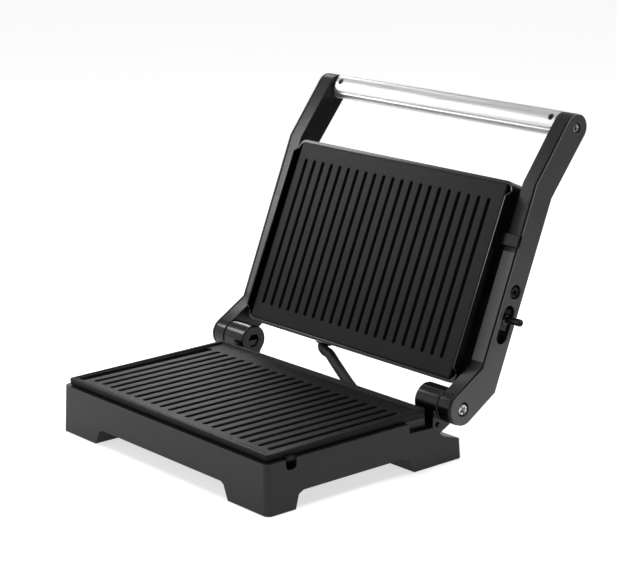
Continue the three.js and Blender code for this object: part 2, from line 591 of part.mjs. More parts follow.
// ---------------------------------------------------------------- lid
const CABLE_RADIUS = 4;
const LID_CABLE_X = -34;
const LID_CABLE_Z = 13;
const LENS_SPOTS = [['power_light', -14, redLens], ['ready_light', 14, greenLens]];
const LENS_Y = -142;

// Outer form of the lid, or its hollow when inset.
function lidForm(inset) {
  const halfWidth = LID_WIDTH / 2 - inset;
  const near = LID_NEAR_Y - inset;
  const far = LID_FAR_Y + inset;
  const top = LID_TOP_Z - inset;
  const bottom = inset > 0 ? LID_RIM_Z - 1 : LID_RIM_Z;
  const plan = standing(roundedRectangle(-halfWidth, halfWidth, far, near, 7 - inset), bottom, top + 1);
  const side = across(polygon([
    [near, bottom], [near, 21], [near - 12, top], [far + 12, top], [far, 21], [far, bottom],
  ]), -halfWidth - 1, halfWidth + 1);
  const front = backward(polygon([
    [-halfWidth, bottom], [halfWidth, bottom], [halfWidth, 24], [halfWidth - 9, top],
    [9 - halfWidth, top], [-halfWidth, 24],
  ]), far - 1, near + 1);
  return plan.intersect(side).intersect(front);
}

function lidHousing() {
  const beyond = LID_WIDTH / 2 + 1;
  let lid = lidForm(0).subtract(lidForm(LID_WALL));
  lid = cut(lid,
    block(-beyond, beyond, LID_FAR_Y + 3, LID_NEAR_Y - 3, LID_RIM_Z - 1, LID_SIDE_RIM_Z),
    rod(3.4, [-LID_WIDTH / 2 - 1, PIVOT_Y, PIVOT_Z], [5 - LID_WIDTH / 2, PIVOT_Y, PIVOT_Z]),
    rod(3.4, [LID_WIDTH / 2 - 5, PIVOT_Y, PIVOT_Z], [LID_WIDTH / 2 + 1, PIVOT_Y, PIVOT_Z]),
    rod(CABLE_RADIUS + GAP,
      [LID_CABLE_X, LID_NEAR_Y - 4, LID_CABLE_Z], [LID_CABLE_X, LID_NEAR_Y + 1, LID_CABLE_Z]));
  for (const [, x] of LENS_SPOTS) {
    lid = lid.subtract(rod(3.2, [x, LENS_Y, LID_TOP_Z - 4], [x, LENS_Y, LID_TOP_Z + 1]));
  }
  return lid;
}

addPart(upper, 'lid_housing', lidHousing(), blackPlastic);
for (const [name, x, material] of LENS_SPOTS) {
  addPart(upper, name, rod(2.9, [x, LENS_Y, LID_TOP_Z - 3.5], [x, LENS_Y, LID_TOP_Z + 0.6]), material);
}
for (const [side, sign] of SIDES) {
  const bracket = cut(
    block(107.5, LID_WIDTH / 2 - LID_WALL - GAP, PIVOT_Y - 9, PIVOT_Y + 9, 8.4, 23.6),
    rod(3.3, [106, PIVOT_Y, PIVOT_Z], [117, PIVOT_Y, PIVOT_Z]));
  addPart(upper, `pivot_bracket_${side}`, sign > 0 ? bracket : bracket.mirror([1, 0, 0]), sheetMetal);
}

// ---------------------------------------------------------------- cable between the halves
const DECK_SLOPE = Math.atan2(20.6 - DECK_END_Z, BASE_DEPTH - BASE_DRAFT - 165.1);
const DECK_NORMAL = new THREE.Vector3(0, Math.sin(DECK_SLOPE), Math.cos(DECK_SLOPE));
const BASE_CABLE = new THREE.Vector3(18, 171.4, 20.6 - (171.4 - 165.1) * Math.tan(DECK_SLOPE));
const GROMMET_RADIUS = 6.6;
const LID_GROMMET_HEIGHT = 1.5;

function onDeckNormal(distance) {
  return BASE_CABLE.clone().addScaledVector(DECK_NORMAL, distance).toArray();
}

addPart(lower, 'cable_grommet_base', cut(
  rod(GROMMET_RADIUS, onDeckNormal(GAP), onDeckNormal(4)),
  rod(CABLE_RADIUS + GAP, onDeckNormal(-1), onDeckNormal(6))), rubber);
addPart(upper, 'cable_grommet_lid', cut(
  rod(GROMMET_RADIUS, [LID_CABLE_X, LID_NEAR_Y + GAP, LID_CABLE_Z],
    [LID_CABLE_X, LID_NEAR_Y + LID_GROMMET_HEIGHT, LID_CABLE_Z]),
  rod(CABLE_RADIUS + 2 * GAP, [LID_CABLE_X, LID_NEAR_Y - 1, LID_CABLE_Z],
    [LID_CABLE_X, LID_NEAR_Y + 6, LID_CABLE_Z])),
  rubber);

// A point of the lid's cable end: out from its rear wall, and sideways along it.
upper.updateMatrixWorld(true);
const offLid = (distance, sideways = 0) => upper.localToWorld(
  new THREE.Vector3(LID_CABLE_X + sideways, LID_NEAR_Y + distance, LID_CABLE_Z)).toArray();
const CABLE_ROUTE = [
  onDeckNormal(0.6), onDeckNormal(5), [13.6, 174.2, 28.2], [6, 175.8, 31.8], [-4.5, 178.5, 36.6],
  [-15.3, 181, 42], offLid(6.9, 9.5), offLid(5.8, 4.6), offLid(4, 1.2), offLid(2), offLid(0.6),
].map((point) => new THREE.Vector3(...point));
addPart(lower, 'link_cable', sweep(new THREE.CatmullRomCurve3(CABLE_ROUTE), CABLE_RADIUS, 10, 28), sleeve);

// Strain-relief gland where the mains lead enters, on the rear slope.
addPart(lower, 'cord_gland', cut(
  join(
    rod(GLAND_RADIUS, [GLAND_X, 162, GLAND_Z], [GLAND_X, 182, GLAND_Z]),
    rod(GLAND_FLANGE, [GLAND_X, 166.5, GLAND_Z], [GLAND_X, 169.5, GLAND_Z])),
  rod(3, [GLAND_X, 172, GLAND_Z], [GLAND_X, 184, GLAND_Z])), rubber);

// ---------------------------------------------------------------- origin: centre of the underside
press.updateMatrixWorld(true);
const extent = new THREE.Box3().setFromObject(press, true);
const middle = extent.getCenter(new THREE.Vector3());
press.position.set(-middle.x, -middle.y, -extent.min.z);

export default press;
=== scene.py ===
import json
import math

import bmesh
import bpy
from mathutils import Matrix, Vector
from mathutils.geometry import tessellate_polygon


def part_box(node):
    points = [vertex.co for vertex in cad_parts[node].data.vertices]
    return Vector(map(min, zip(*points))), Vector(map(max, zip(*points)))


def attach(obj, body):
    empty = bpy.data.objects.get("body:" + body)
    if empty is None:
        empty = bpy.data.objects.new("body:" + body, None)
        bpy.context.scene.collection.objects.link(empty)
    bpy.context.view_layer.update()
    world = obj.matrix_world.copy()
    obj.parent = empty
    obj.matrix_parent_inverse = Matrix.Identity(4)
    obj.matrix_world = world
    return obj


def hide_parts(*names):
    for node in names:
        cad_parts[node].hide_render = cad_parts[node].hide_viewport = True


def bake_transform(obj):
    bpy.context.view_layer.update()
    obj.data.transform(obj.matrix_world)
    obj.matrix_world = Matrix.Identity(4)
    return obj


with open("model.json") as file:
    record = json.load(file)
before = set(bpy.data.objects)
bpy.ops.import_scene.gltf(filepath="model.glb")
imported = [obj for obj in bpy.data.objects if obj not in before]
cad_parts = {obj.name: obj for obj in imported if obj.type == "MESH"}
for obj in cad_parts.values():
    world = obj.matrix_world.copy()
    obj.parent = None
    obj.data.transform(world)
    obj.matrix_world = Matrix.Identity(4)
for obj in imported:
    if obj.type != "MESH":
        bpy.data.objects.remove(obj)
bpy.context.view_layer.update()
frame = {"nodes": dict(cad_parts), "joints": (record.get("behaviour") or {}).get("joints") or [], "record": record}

# ---------------------------------------------------------------- the two halves' own axes
# Lengths are in millimetres. Lower half: X from the mirror plane, Y from the base's front, Z from
# the table. Upper half: closed, measured from the hinge axis, -Y towards the handle.
MM = 0.001
joints = {joint["name"]: joint for joint in frame["joints"]}
hinge = Vector(joints["arm_hinge"]["pos_m"])
closing_turn = math.radians(joints["arm_hinge"]["range_deg"][0])
LOWER = Matrix.Translation((hinge.x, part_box("base_housing")[0].y, 0))
UPPER = Matrix.Translation(hinge) @ Matrix.Rotation(closing_turn, 4, "X")


def box_in(node, place):
    """Lowest and highest corner of a CAD node along one half's axes, in millimetres."""
    back = place.inverted()
    corners = [back @ vertex.co / MM for vertex in frame["nodes"][node].data.vertices]
    low = Vector([min(corner[i] for corner in corners) for i in range(3)])
    high = Vector([max(corner[i] for corner in corners) for i in range(3)])
    return low, high


def reach_of(node, place):
    """How near the mirror plane a CAD node starts and how far from it the node ends."""
    return sorted(abs(corner.x) for corner in box_in(node, place))


HINGE_Z = hinge.z / MM
HINGE = ((hinge.y - LOWER.translation.y) / MM, HINGE_Z)

# ---------------------------------------------------------------- placing, and the camera


def add_object(name, data):
    made = bpy.data.objects.new(name, data)
    bpy.context.scene.collection.objects.link(made)
    return made


def heading(azimuth, elevation):
    """The direction at degrees from the front towards the right, and up from the floor."""
    a = math.radians(azimuth)
    e = math.radians(elevation)
    return Vector((math.sin(a) * math.cos(e), -math.cos(a) * math.cos(e), math.sin(e)))


def aim(seer, target, azimuth, elevation, distance):
    """Puts a camera or light on a heading from its target, facing it."""
    back = heading(azimuth, elevation)
    seer.location = target + back * distance
    seer.rotation_euler = (-back).to_track_quat("-Z", "Y").to_euler()


CAMERA_HEADING = (49.06, 14.53)
CAMERA_DISTANCE = 1.432
CAMERA_TARGET = Vector((-0.0032, -0.0065, 0.1129))
CAMERA_LENS = 112.84


def add_camera():
    data = bpy.data.cameras.new("camera")
    data.lens = CAMERA_LENS
    data.sensor_fit = "HORIZONTAL"
    data.sensor_width = 36
    camera = add_object("camera", data)
    aim(camera, CAMERA_TARGET, *CAMERA_HEADING, CAMERA_DISTANCE)
    bpy.context.scene.camera = camera


add_camera()

# ---------------------------------------------------------------- outlines
# An outline is a closed list of 2-D points that runs anticlockwise.
CROSS_TURN = 0.4                   # how far every cross-head screw is turned, in radians
EDGE_STEPS = 3                     # faces round a rounded edge


def outline(corners, steps=8):
    """Closed loop through (a, b) or (a, b, radius) corners; a radius rounds that corner."""
    loop = []
    for i, corner in enumerate(corners):
        here = Vector(corner[:2])
        if len(corner) < 3:
            loop.append(here)
            continue
        radius = corner[2]
        to_last = (Vector(corners[i - 1][:2]) - here).normalized()
        to_next = (Vector(corners[(i + 1) % len(corners)][:2]) - here).normalized()
        half = to_last.angle(to_next) / 2
        centre = here + (to_last + to_next).normalized() * radius / math.sin(half)
        start = here + to_last * radius / math.tan(half) - centre
        turn = math.pi - 2 * half
        if to_last.x * to_next.y - to_last.y * to_next.x > 0:
            turn = -turn
        for k in range(steps + 1):
            loop.append(centre + Matrix.Rotation(turn * k / steps, 2) @ start)
    return loop


def rounded_box(a0, a1, b0, b1, radius, steps=8):
    return outline(
        [(a0, b0, radius), (a1, b0, radius), (a1, b1, radius), (a0, b1, radius)], steps)


def arc(a, b, radius, start, end, steps):
    """Points on a circle from one angle to another, in radians."""
    angles = [start + (end - start) * k / steps for k in range(steps + 1)]
    return [Vector((a + radius * math.cos(t), b + radius * math.sin(t))) for t in angles]


def disc(a, b, radius, steps=48):
    return arc(a, b, radius, 0, 2 * math.pi, steps)[:-1]


def hexagon(a, b, radius):
    return disc(a, b, radius, 6)


def cross(a, b, reach, width):
    """The outline of a cross-head recess."""
    half = width / 2
    loop = []
    for quarter in range(4):
        spin = Matrix.Rotation(CROSS_TURN + quarter * math.pi / 2, 2)
        for x, y in ((reach, -half * 0.75), (reach, half * 0.75), (half, half)):
            loop.append(Vector((a, b)) + spin @ Vector((x, y)))
    return loop


def inset(loop, amount):
    """The loop moved inwards by an amount, with mitred corners."""
    moved = []
    for i, point in enumerate(loop):
        before = (point - loop[i - 1]).normalized()
        after = (loop[(i + 1) % len(loop)] - point).normalized()
        n0 = Vector((-before.y, before.x))
        n1 = Vector((-after.y, after.x))
        moved.append(point + (n0 + n1) * amount / (1 + n0.dot(n1)))
    return moved


# ---------------------------------------------------------------- mesh building
# A plane says where an outline's two directions and its height lie along the half's axes.
FLAT = Matrix(((1, 0, 0), (0, 1, 0), (0, 0, 1)))
SIDEWAYS = Matrix(((0, 0, 1), (1, 0, 0), (0, 1, 0)))
LENGTHWAYS = Matrix(((1, 0, 0), (0, 0, 1), (0, 1, 0)))
MIRROR = Matrix.Diagonal((-1, 1, 1))
DOWNWARDS = Matrix.Diagonal((1, 1, -1))


class Build:
    """A mesh made of rings: each ring is an outline at a height above its plane."""

    def __init__(self, plane=FLAT):
        self.bm = bmesh.new()
        self.plane = plane
        self.plan = {}

    def ring(self, loop, height):
        ring = []
        for i, point in enumerate(loop):
            level = height(point) if callable(height) else height
            vertex = self.bm.verts.new(self.plane @ Vector((point.x, point.y, level)))
            self.plan[vertex] = point
            ring.append(vertex)
        return ring

    def join(self, one, other):
        for i in range(len(one)):
            k = (i + 1) % len(one)
            self.bm.faces.new((one[i], one[k], other[k], other[i]))

    def chain(self, rings):
        for one, other in zip(rings, rings[1:]):
            self.join(one, other)

    def wall(self, loop, profile):
        """A wall of rings at each (inset, height) of the profile; returns its two end rings."""
        rings = [self.ring(inset(loop, amount), height) for amount, height in profile]
        self.chain(rings)
        return rings[0], rings[-1]

    def cap(self, *rings):
        """A flat face inside the first ring and outside the others."""
        loops = [[(*self.plan[vertex], 0) for vertex in ring] for ring in rings]
        vertices = [vertex for ring in rings for vertex in ring]
        for corners in tessellate_polygon(loops):
            self.bm.faces.new([vertices[i] for i in corners])

    def finish(self, name, place):
        bmesh.ops.recalc_face_normals(self.bm, faces=self.bm.faces)
        for face in self.bm.faces:
            face.smooth = True
        mesh = bpy.data.meshes.new(name)
        self.bm.to_mesh(mesh)
        self.bm.free()
        mesh.transform(Matrix.Scale(MM, 4))
        made = add_object(name, mesh)
        made.matrix_world = place
        return made


def quarter_round(radius):
    """(inset, rise) pairs of an edge, from the face beside it to the face it turns into."""
    angles = [math.pi / 2 * k / EDGE_STEPS for k in range(EDGE_STEPS + 1)]
    return [(radius * (1 - math.cos(t)), radius * math.sin(t)) for t in angles]


def edge_up(high, radius, sign=1):
    return [(sign * i, high - radius + rise) for i, rise in quarter_round(radius)]


def edge_down(low, radius, sign=1):
    return [(sign * i, low + radius - rise) for i, rise in reversed(quarter_round(radius))]


def slab(name, loop, low, high, plane, place, edge=0.5, holes=(), pockets=(), step=None):
    """A plate with rounded edges. Holes go through it; pockets are (loop, depth, floor round).
    A step is (width, drop): the plate is lower by drop along its whole upper edge."""
    build = Build(plane)
    width, drop = step or (0, 0)
    rows = edge_down(low, edge) + edge_up(high - drop, edge)
    if step:
        rows += [(width, high - drop), (width, high)]
    under, over = build.wall(loop, rows)
    under_holes = []
    over_holes = []
    for hole in holes:
        lower_lip, upper_lip = build.wall(hole, edge_down(low, edge, -1) + edge_up(high, edge, -1))
        under_holes.append(lower_lip)
        over_holes.append(upper_lip)
    for pocket, depth, rounding in pockets:
        floor = high - depth
        foot = [(i, floor + rounding - rise) for i, rise in quarter_round(rounding)]
        lip, bottom = build.wall(pocket, edge_up(high, edge, -1)[::-1] + foot)
        build.cap(bottom)
        over_holes.append(lip)
    build.cap(under, *under_holes)
    build.cap(over, *over_holes)
    return build.finish(name, place)


def turned(name, profile, centre, plane, place, steps=48):
    """A piece turned on a lathe: (radius, height) pairs from one end to the other."""
    build = Build(plane)
    rings = [build.ring(disc(*centre, radius, steps), height) for radius, height in profile]
    build.chain(rings)
    build.cap(rings[0])
    build.cap(rings[-1])
    return build.finish(name, place)


def ring_piece(name, profile, centre, plane, place, steps=48):
    """A turned ring: its (radius, height) pairs close on themselves."""
    build = Build(plane)
    rings = [build.ring(disc(*centre, radius, steps), height) for radius, height in profile]
    build.chain(rings + rings[:1])
    return build.finish(name, place)


def settle(piece):
    """Turns a piece's modifiers into its mesh."""
    bpy.context.view_layer.update()
    graph = bpy.context.evaluated_depsgraph_get()
    mesh = bpy.data.meshes.new_from_object(piece.evaluated_get(graph))
    piece.modifiers.clear()
    piece.data = mesh


def combine(piece, tools, operation="DIFFERENCE"):
    for tool in tools:
        modifier = piece.modifiers.new(operation, "BOOLEAN")
        modifier.object = tool
        modifier.operation = operation
        modifier.solver = "EXACT"
    settle(piece)
    for tool in tools:
        bpy.data.objects.remove(tool)
    return piece


def soften(piece, width, steps=3, angle=28):
    """Rounds the sharp edges that cutting leaves."""
    tidy = bmesh.new()
    tidy.from_mesh(piece.data)
    bmesh.ops.remove_doubles(tidy, verts=tidy.verts, dist=0.01 * MM)
    bmesh.ops.dissolve_limit(
        tidy, angle_limit=math.radians(0.5), verts=tidy.verts, edges=tidy.edges)
    tidy.to_mesh(piece.data)
    tidy.free()
    bevel = piece.modifiers.new("edges", "BEVEL")
    bevel.width = width * MM
    bevel.segments = steps
    bevel.limit_method = "ANGLE"
    bevel.angle_limit = math.radians(angle)
    settle(piece)
    piece.data.shade_smooth()
    return piece


def show(piece, body, slot, *nodes):
    """Gives a piece its body, its material and the CAD nodes it stands for."""
    weighted = piece.modifiers.new("normals", "WEIGHTED_NORMAL")
    weighted.keep_sharp = True
    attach(piece, body)
    if nodes:
        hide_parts(*nodes)
    piece.data.materials.clear()
    piece.data.materials.append(materials[slot])
    return piece


# ---------------------------------------------------------------- materials


class Look:
    """A material's node tree, with short ways to add to it."""

    def __init__(self, name):
        self.material = bpy.data.materials.new(name)
        self.material.use_nodes = True
        self.tree = self.material.node_tree
        self.shader = self.tree.nodes["Principled BSDF"]
        self.place = self.add("ShaderNodeTexCoord").outputs["Object"]

    def add(self, kind, inputs=None, **settings):
        node = self.tree.nodes.new(kind)
        for key, value in settings.items():
            setattr(node, key, value)
        for key, value in (inputs or {}).items():
            self.put(node.inputs[key], value)
        return node

    def put(self, socket, value):
        if isinstance(value, bpy.types.NodeSocket):
            self.tree.links.new(value, socket)
        else:
            socket.default_value = value

    def set(self, **values):
        for key, value in values.items():
            self.put(self.shader.inputs[key.replace("_", " ")], value)

    def scaled(self, size, stretch=(1, 1, 1)):
        return self.add("ShaderNodeMapping", {
            "Vector": self.place,
            "Scale": [1 / (size * MM * s) for s in stretch]}).outputs["Vector"]

    def noise(self, size, detail=3, stretch=(1, 1, 1)):
        """Noise whose features are about size millimetres across."""
        return self.add("ShaderNodeTexNoise", {
            "Vector": self.scaled(size, stretch), "Scale": 1.0,
            "Detail": detail}).outputs["Fac"]

    def spots(self, size):
        """Distance from the middle of the nearest of many cells about size millimetres across."""
        return self.add("ShaderNodeTexVoronoi", {
            "Vector": self.scaled(size), "Scale": 1.0}).outputs["Distance"]

    def span(self, value, low, high, start=0.3, end=0.7):
        """A value between start and end, spread over low to high."""
        return self.add("ShaderNodeMapRange", {
            "Value": value, "From Min": start, "From Max": end,
            "To Min": low, "To Max": high}).outputs["Result"]

    def mix(self, share, one, other):
        """A colour between two others, each a colour or a socket."""
        node = self.add("ShaderNodeMix", data_type="RGBA")
        self.put(node.inputs["Factor"], share)
        for socket, colour in zip(node.inputs[6:8], (one, other)):
            self.put(socket, colour if isinstance(colour, bpy.types.NodeSocket) else (*colour, 1))
        return node.outputs[2]

    def work_out(self, operation, *values):
        """The result of one arithmetic operation."""
        return self.add("ShaderNodeMath", dict(enumerate(values)), operation=operation).outputs[0]

    def bump(self, height, depth, after=None):
        """Bumps depth millimetres deep."""
        inputs = {"Height": height, "Distance": depth * MM, "Strength": 1.0}
        if after is not None:
            inputs["Normal"] = after
        return self.add("ShaderNodeBump", inputs).outputs["Normal"]


def grey(level, tint=0.0):
    return (level * (1 - tint), level, level * (1 + tint))


def moulded(name, dark, light, rough, grain=0.45, depth=0.02):
    """Moulded plastic: a fine spark-eroded grain, with slightly uneven colour and gloss."""
    look = Look(name)
    fine = look.noise(grain, 4)
    broad = look.noise(28, 2)
    look.set(
        Base_Color=look.mix(look.span(broad, 0, 1), dark, light),
        Roughness=look.span(fine, rough - 0.06, rough + 0.06),
        Normal=look.bump(fine, depth, look.bump(look.noise(9, 2), 0.03)),
        Specular_IOR_Level=0.5)
    return look.material


def non_stick(name, dark, light, rough):
    """Sprayed non-stick coating: orange peel with fine pale flecks."""
    look = Look(name)
    peel = look.noise(0.9, 3)
    distance = look.spots(0.5)
    fleck = look.work_out("MULTIPLY", look.span(distance, 1, 0, 0.05, 0.22), 0.28)
    body = look.mix(look.span(look.noise(40, 2), 0, 1), dark, light)
    look.set(
        Base_Color=look.mix(fleck, body, grey(0.16)),
        Roughness=look.span(peel, rough - 0.07, rough + 0.08),
        Normal=look.bump(peel, 0.035, look.bump(distance, 0.012)),
        Specular_IOR_Level=0.16)
    return look.material


def brushed(name, colour, rough, along):
    """Brushed metal: hairlines along one direction."""
    look = Look(name)
    lines = look.noise(0.22, 4, along)
    wide = look.noise(3.5, 2, along)
    look.set(
        Base_Color=look.mix(look.span(wide, 0, 1), [c * 0.93 for c in colour], colour),
        Metallic=1.0,
        Roughness=look.span(lines, rough - 0.07, rough + 0.1),
        Normal=look.bump(lines, 0.006),
        Anisotropic=0.4)
    return look.material


def polished(name, colour, rough, metallic=1.0):
    """Machined or rolled metal with light handling marks."""
    look = Look(name)
    marks = look.noise(0.6, 4, (1, 1, 3))
    stain = look.noise(5, 2)
    look.set(
        Base_Color=look.mix(look.span(stain, 0, 1), [c * 0.88 for c in colour], colour),
        Metallic=metallic,
        Roughness=look.span(marks, rough - 0.05, rough + 0.1),
        Normal=look.bump(marks, 0.004))
    return look.material


def soft_rubber(name, dark, light):
    look = Look(name)
    fine = look.noise(0.3, 3)
    look.set(
        Base_Color=look.mix(look.span(look.noise(6, 2), 0, 1), dark, light),
        Roughness=look.span(fine, 0.62, 0.85),
        Normal=look.bump(fine, 0.03))
    return look.material


STRANDS = 20
PICK = 1.3                         # length of one repeat of the braid


def woven(name, dark, light):
    """Braided sleeve: two sets of strands cross round it, along its UV directions."""
    look = Look(name)
    uv = look.add("ShaderNodeSeparateXYZ", {
        "Vector": look.add("ShaderNodeTexCoord").outputs["UV"]})
    around = look.work_out("MULTIPLY", uv.outputs["X"], STRANDS * math.pi)
    along = look.work_out("MULTIPLY", uv.outputs["Y"], 2 * math.pi / (PICK * MM))
    waves = [
        look.work_out("SINE", look.work_out(way, around, along)) for way in ("ADD", "SUBTRACT")]
    height = look.span(look.work_out("MULTIPLY", *waves), 0, 1, -1, 1)
    fibre = look.noise(0.25, 3)
    look.set(
        # The colour follows the weave's height: painted shade in the hollows between strands, painted highlight on
        # their crests.
        Base_Color=look.mix(height, dark, light),
        Roughness=look.span(fibre, 0.45, 0.65),
        Normal=look.bump(fibre, 0.02, look.bump(height, 0.16)))
    return look.material


def lens(name, colour):
    """Moulded tinted lens with a faceted glow inside."""
    look = Look(name)
    distance = look.spots(0.9)
    look.set(
        Base_Color=look.mix(look.span(distance, 0, 1, 0, 0.6), colour, [c * 0.45 for c in colour]),
        Roughness=look.span(look.noise(2, 2), 0.08, 0.16),
        Normal=look.bump(distance, 0.02),
        Coat_Weight=0.6,
        Coat_Roughness=0.05)
    return look.material


def fired(name, dark, light):
    look = Look(name)
    fine = look.noise(0.7, 4)
    look.set(
        Base_Color=look.mix(look.span(fine, 0, 1), dark, light),
        Roughness=look.span(fine, 0.55, 0.75),
        Normal=look.bump(fine, 0.02))
    return look.material


materials = {name: make(name, *values) for name, make, *values in (
    ("charcoal_plastic", moulded, grey(0.007, 0.02), grey(0.01, 0.02), 0.36),
    ("black_plastic", moulded, grey(0.0022), grey(0.0032), 0.2, 0.6, 0.006),
    ("arm_grey_plastic", moulded, grey(0.105), grey(0.12), 0.42, 0.4, 0.012),
    ("nonstick_coating", non_stick, grey(0.010), grey(0.013), 0.46),
    ("brushed_aluminium", brushed, (0.88, 0.885, 0.89), 0.42, (60, 1, 1)),
    ("bright_steel", polished, (0.8, 0.8, 0.81), 0.22),
    ("black_steel", polished, (0.02, 0.02, 0.021), 0.3, 0.4),
    # Sheet metal gets a darker grey than bare aluminium: painted shade for where it sits in shadow.
    ("sheet_metal", polished, (0.4, 0.405, 0.41), 0.5),
    ("black_rubber", soft_rubber, grey(0.006), grey(0.01)),
    ("cable_sleeve", woven, grey(0.004), grey(0.035)),
    ("ceramic", fired, (0.62, 0.58, 0.5), (0.72, 0.68, 0.6)),
    ("red_lens", lens, (0.5, 0.02, 0.012)),
    ("green_lens", lens, (0.03, 0.3, 0.07)),
)}
for subpart in frame["record"]["subparts"]:
    carried = frame["nodes"][subpart["node"]].data
    carried.materials.clear()
    carried.materials.append(materials[subpart["material_slot"]])

SIDES = (("left", -1), ("right", 1))
CORNERS = ("front_left", "front_right", "rear_left", "rear_right")


def side_plane(sign):
    """Outlines in Y and Z, with the height running outwards on that side."""
    return SIDEWAYS if sign > 0 else MIRROR @ SIDEWAYS


def inward_plane(sign):
    """Outlines in Y and Z, with the height running towards the mirror plane."""
    return MIRROR @ side_plane(sign)


# ---------------------------------------------------------------- grill plates
GROOVE_COUNT = 21
GROOVE_PITCH = 10.1
GROOVE_DEPTH = 3.5
RIM_HEIGHT = 1.8
GUTTER_IN = 5                     # from a plate's edge to the gutter along its closed side
SLAB = 4.8
PLATE_CORNER = 1.8
LOWER_SHIFT = GROOVE_PITCH / 2     # from a plate's centre to its middle groove
UPPER_SHIFT = -1.75
RIM_RIGHT = (32, 11)               # from the lower plate's front to its rim, and the rim's run-in
RIM_LEFT = (1, 5)


def smooth_step(value):
    value = min(1, max(0, value))
    return value * value * (3 - 2 * value)


def grill_plate(name, place, node, facing, groove_width, front, rear, shift, rim_share=None):
    """A ribbed plate with its cooking face towards facing (1 up, -1 down)."""
    low, high = box_in(node, place)
    top = high.z if facing > 0 else low.z
    land = -RIM_HEIGHT if rim_share else 0
    build = Build(FLAT)

    def ring(i, height):
        radius = max(0.4, PLATE_CORNER - i)
        return build.ring(
            rounded_box(low.x + i, -low.x - i, low.y + i, high.y - i, radius, 10), height)

    def level(flat, raised):
        share = rim_share or (lambda x, y: 0)
        return lambda p: top + facing * (flat + (raised - flat) * share(p.x, p.y))

    profile = [
        (0.9, level(land - SLAB, land - SLAB)),
        (0.2, level(land - SLAB + 0.6, land - SLAB + 0.6)),
        (0.0, level(land - 1.6, land - 1.6)),
        (0.0, level(land - 0.7, -0.7)),
        (0.1, level(land - 0.4, -0.36)),
        (0.3, level(land - 0.12, -0.1)),
        (0.7, level(land, 0)),
    ]
    if rim_share:
        profile += [
            (2.7, level(land, 0)),
            (3.0, level(land, -0.1)),
            (3.3, level(land, -0.5)),
            (3.5, level(land, -1.2)),
            (3.8, level(land, -1.62)),
            (4.3, level(land, land)),
        ]
    rings = [ring(i, height) for i, height in profile]
    build.chain(rings)
    lips = []
    half = groove_width / 2
    first = shift - (GROOVE_COUNT - 1) / 2 * GROOVE_PITCH
    middles = [first + i * GROOVE_PITCH for i in range(GROOVE_COUNT)]
    grooves = [(x - half, x + half, low.y + front) for x in middles]
    if rim_share:
        grooves.append((low.x + GUTTER_IN, first - GROOVE_PITCH + half, low.y + GUTTER_IN))
    for x0, x1, y0 in grooves:
        section = [
            (-0.5, land), (-0.36, land - 0.05), (-0.16, land - 0.18), (0, land - 0.45),
            (0.2, land + 1.0 - GROOVE_DEPTH), (0.4, land + 0.35 - GROOVE_DEPTH),
            (0.9, land - GROOVE_DEPTH)]
        edge, floor = build.wall(
            rounded_box(x0, x1, y0, high.y - rear, half - 0.02),
            [(amount, top + facing * height) for amount, height in section])
        build.cap(floor)
        lips.append(edge)
    build.cap(rings[-1], *lips)
    build.cap(rings[0])
    return build.finish(name, place)


lower_low, lower_high = box_in("lower_grill_plate", LOWER)


def lower_rim(x, y):
    """The rim's share of its full height: it fades out at the front, further back on the right."""
    start, ramp = RIM_RIGHT if x > 0 else RIM_LEFT
    return 0.01 + 0.99 * smooth_step((y - lower_low.y - start) / ramp)


lower_plate = grill_plate(
    "lower_plate", LOWER, "lower_grill_plate", 1, 3.8, 9.5, 18.8, LOWER_SHIFT, lower_rim)
show(lower_plate, "base", "nonstick_coating", "lower_grill_plate")
upper_plate = grill_plate(
    "upper_plate", UPPER, "upper_grill_plate", -1, 3, 12.6, 12.6, UPPER_SHIFT)
show(upper_plate, "lid", "nonstick_coating", "upper_grill_plate")

LIP_Y = (18.2, 26)
LIP_Z = (35.1, 38.1)
drain_lip = slab("drain_lip", rounded_box(*LIP_Y, *LIP_Z, 0.9, 4), 111, lower_high.x,
                 SIDEWAYS, LOWER, 0.7)
show(drain_lip, "base", "nonstick_coating")

# ---------------------------------------------------------------- base
DRAFT = 1.8
FRONT_DRAFT = 0.6
BASE_CORNER = 4.5
FOOT_ARCH = 12.6
STEP_Y = 131.5
DECK_TOP = 29.8
DECK_END_Z = 15.2
base_low, base_high = box_in("base_housing", LOWER)
HALF_BASE = (base_high.x - base_low.x) / 2
DEPTH = base_high.y - base_low.y
TOP = base_high.z
FOOT = base_low.z
FLOOR_TOP = 15.1
PAD_GAP = 0.3
DECK_BEND = Vector((165.1, 20.6))  # from here the deck slopes gently to its rear edge
deck_profile = outline([
    (-5, FOOT - 1), (DEPTH + 0.2, FOOT - 1), (DEPTH + 0.2, FOOT), (DEPTH - DRAFT, DECK_END_Z, 0.8),
    (*DECK_BEND, 6), (158.7, 25.3, 5), (154.4, DECK_TOP - 0.8, 2.5), (STEP_Y, DECK_TOP, 0.8),
    (STEP_Y, TOP, 0.6), (-5, TOP)], 6)


def base_block():
    """The outer form, with walls that lean in towards the top."""
    build = Build(FLAT)
    rings = []
    for share in (0, 0.34, 1):
        lean = DRAFT * share
        loop = rounded_box(lean - HALF_BASE, HALF_BASE - lean, FRONT_DRAFT * share, DEPTH - lean,
                           BASE_CORNER, 12)
        rings.append(build.ring(loop, FOOT + (TOP + 0.01 - FOOT) * share))
    build.chain(rings)
    build.cap(rings[0])
    build.cap(rings[-1])
    return build.finish("base_shell", LOWER)


def prism(loop, low, high, plane, place=LOWER):
    """A sharp-edged block for cutting and joining."""
    build = Build(plane)
    under, over = build.wall(loop, [(0, low), (0, high)])
    build.cap(under)
    build.cap(over)
    return build.finish("tool", place)


def brick(x0, x1, y0, y1, z0, z1, radius=0.0):
    loop = rounded_box(x0, x1, y0, y1, radius) if radius else outline(
        [(x0, y0), (x1, y0), (x1, y1), (x0, y1)])
    return prism(loop, z0, z1, FLAT)


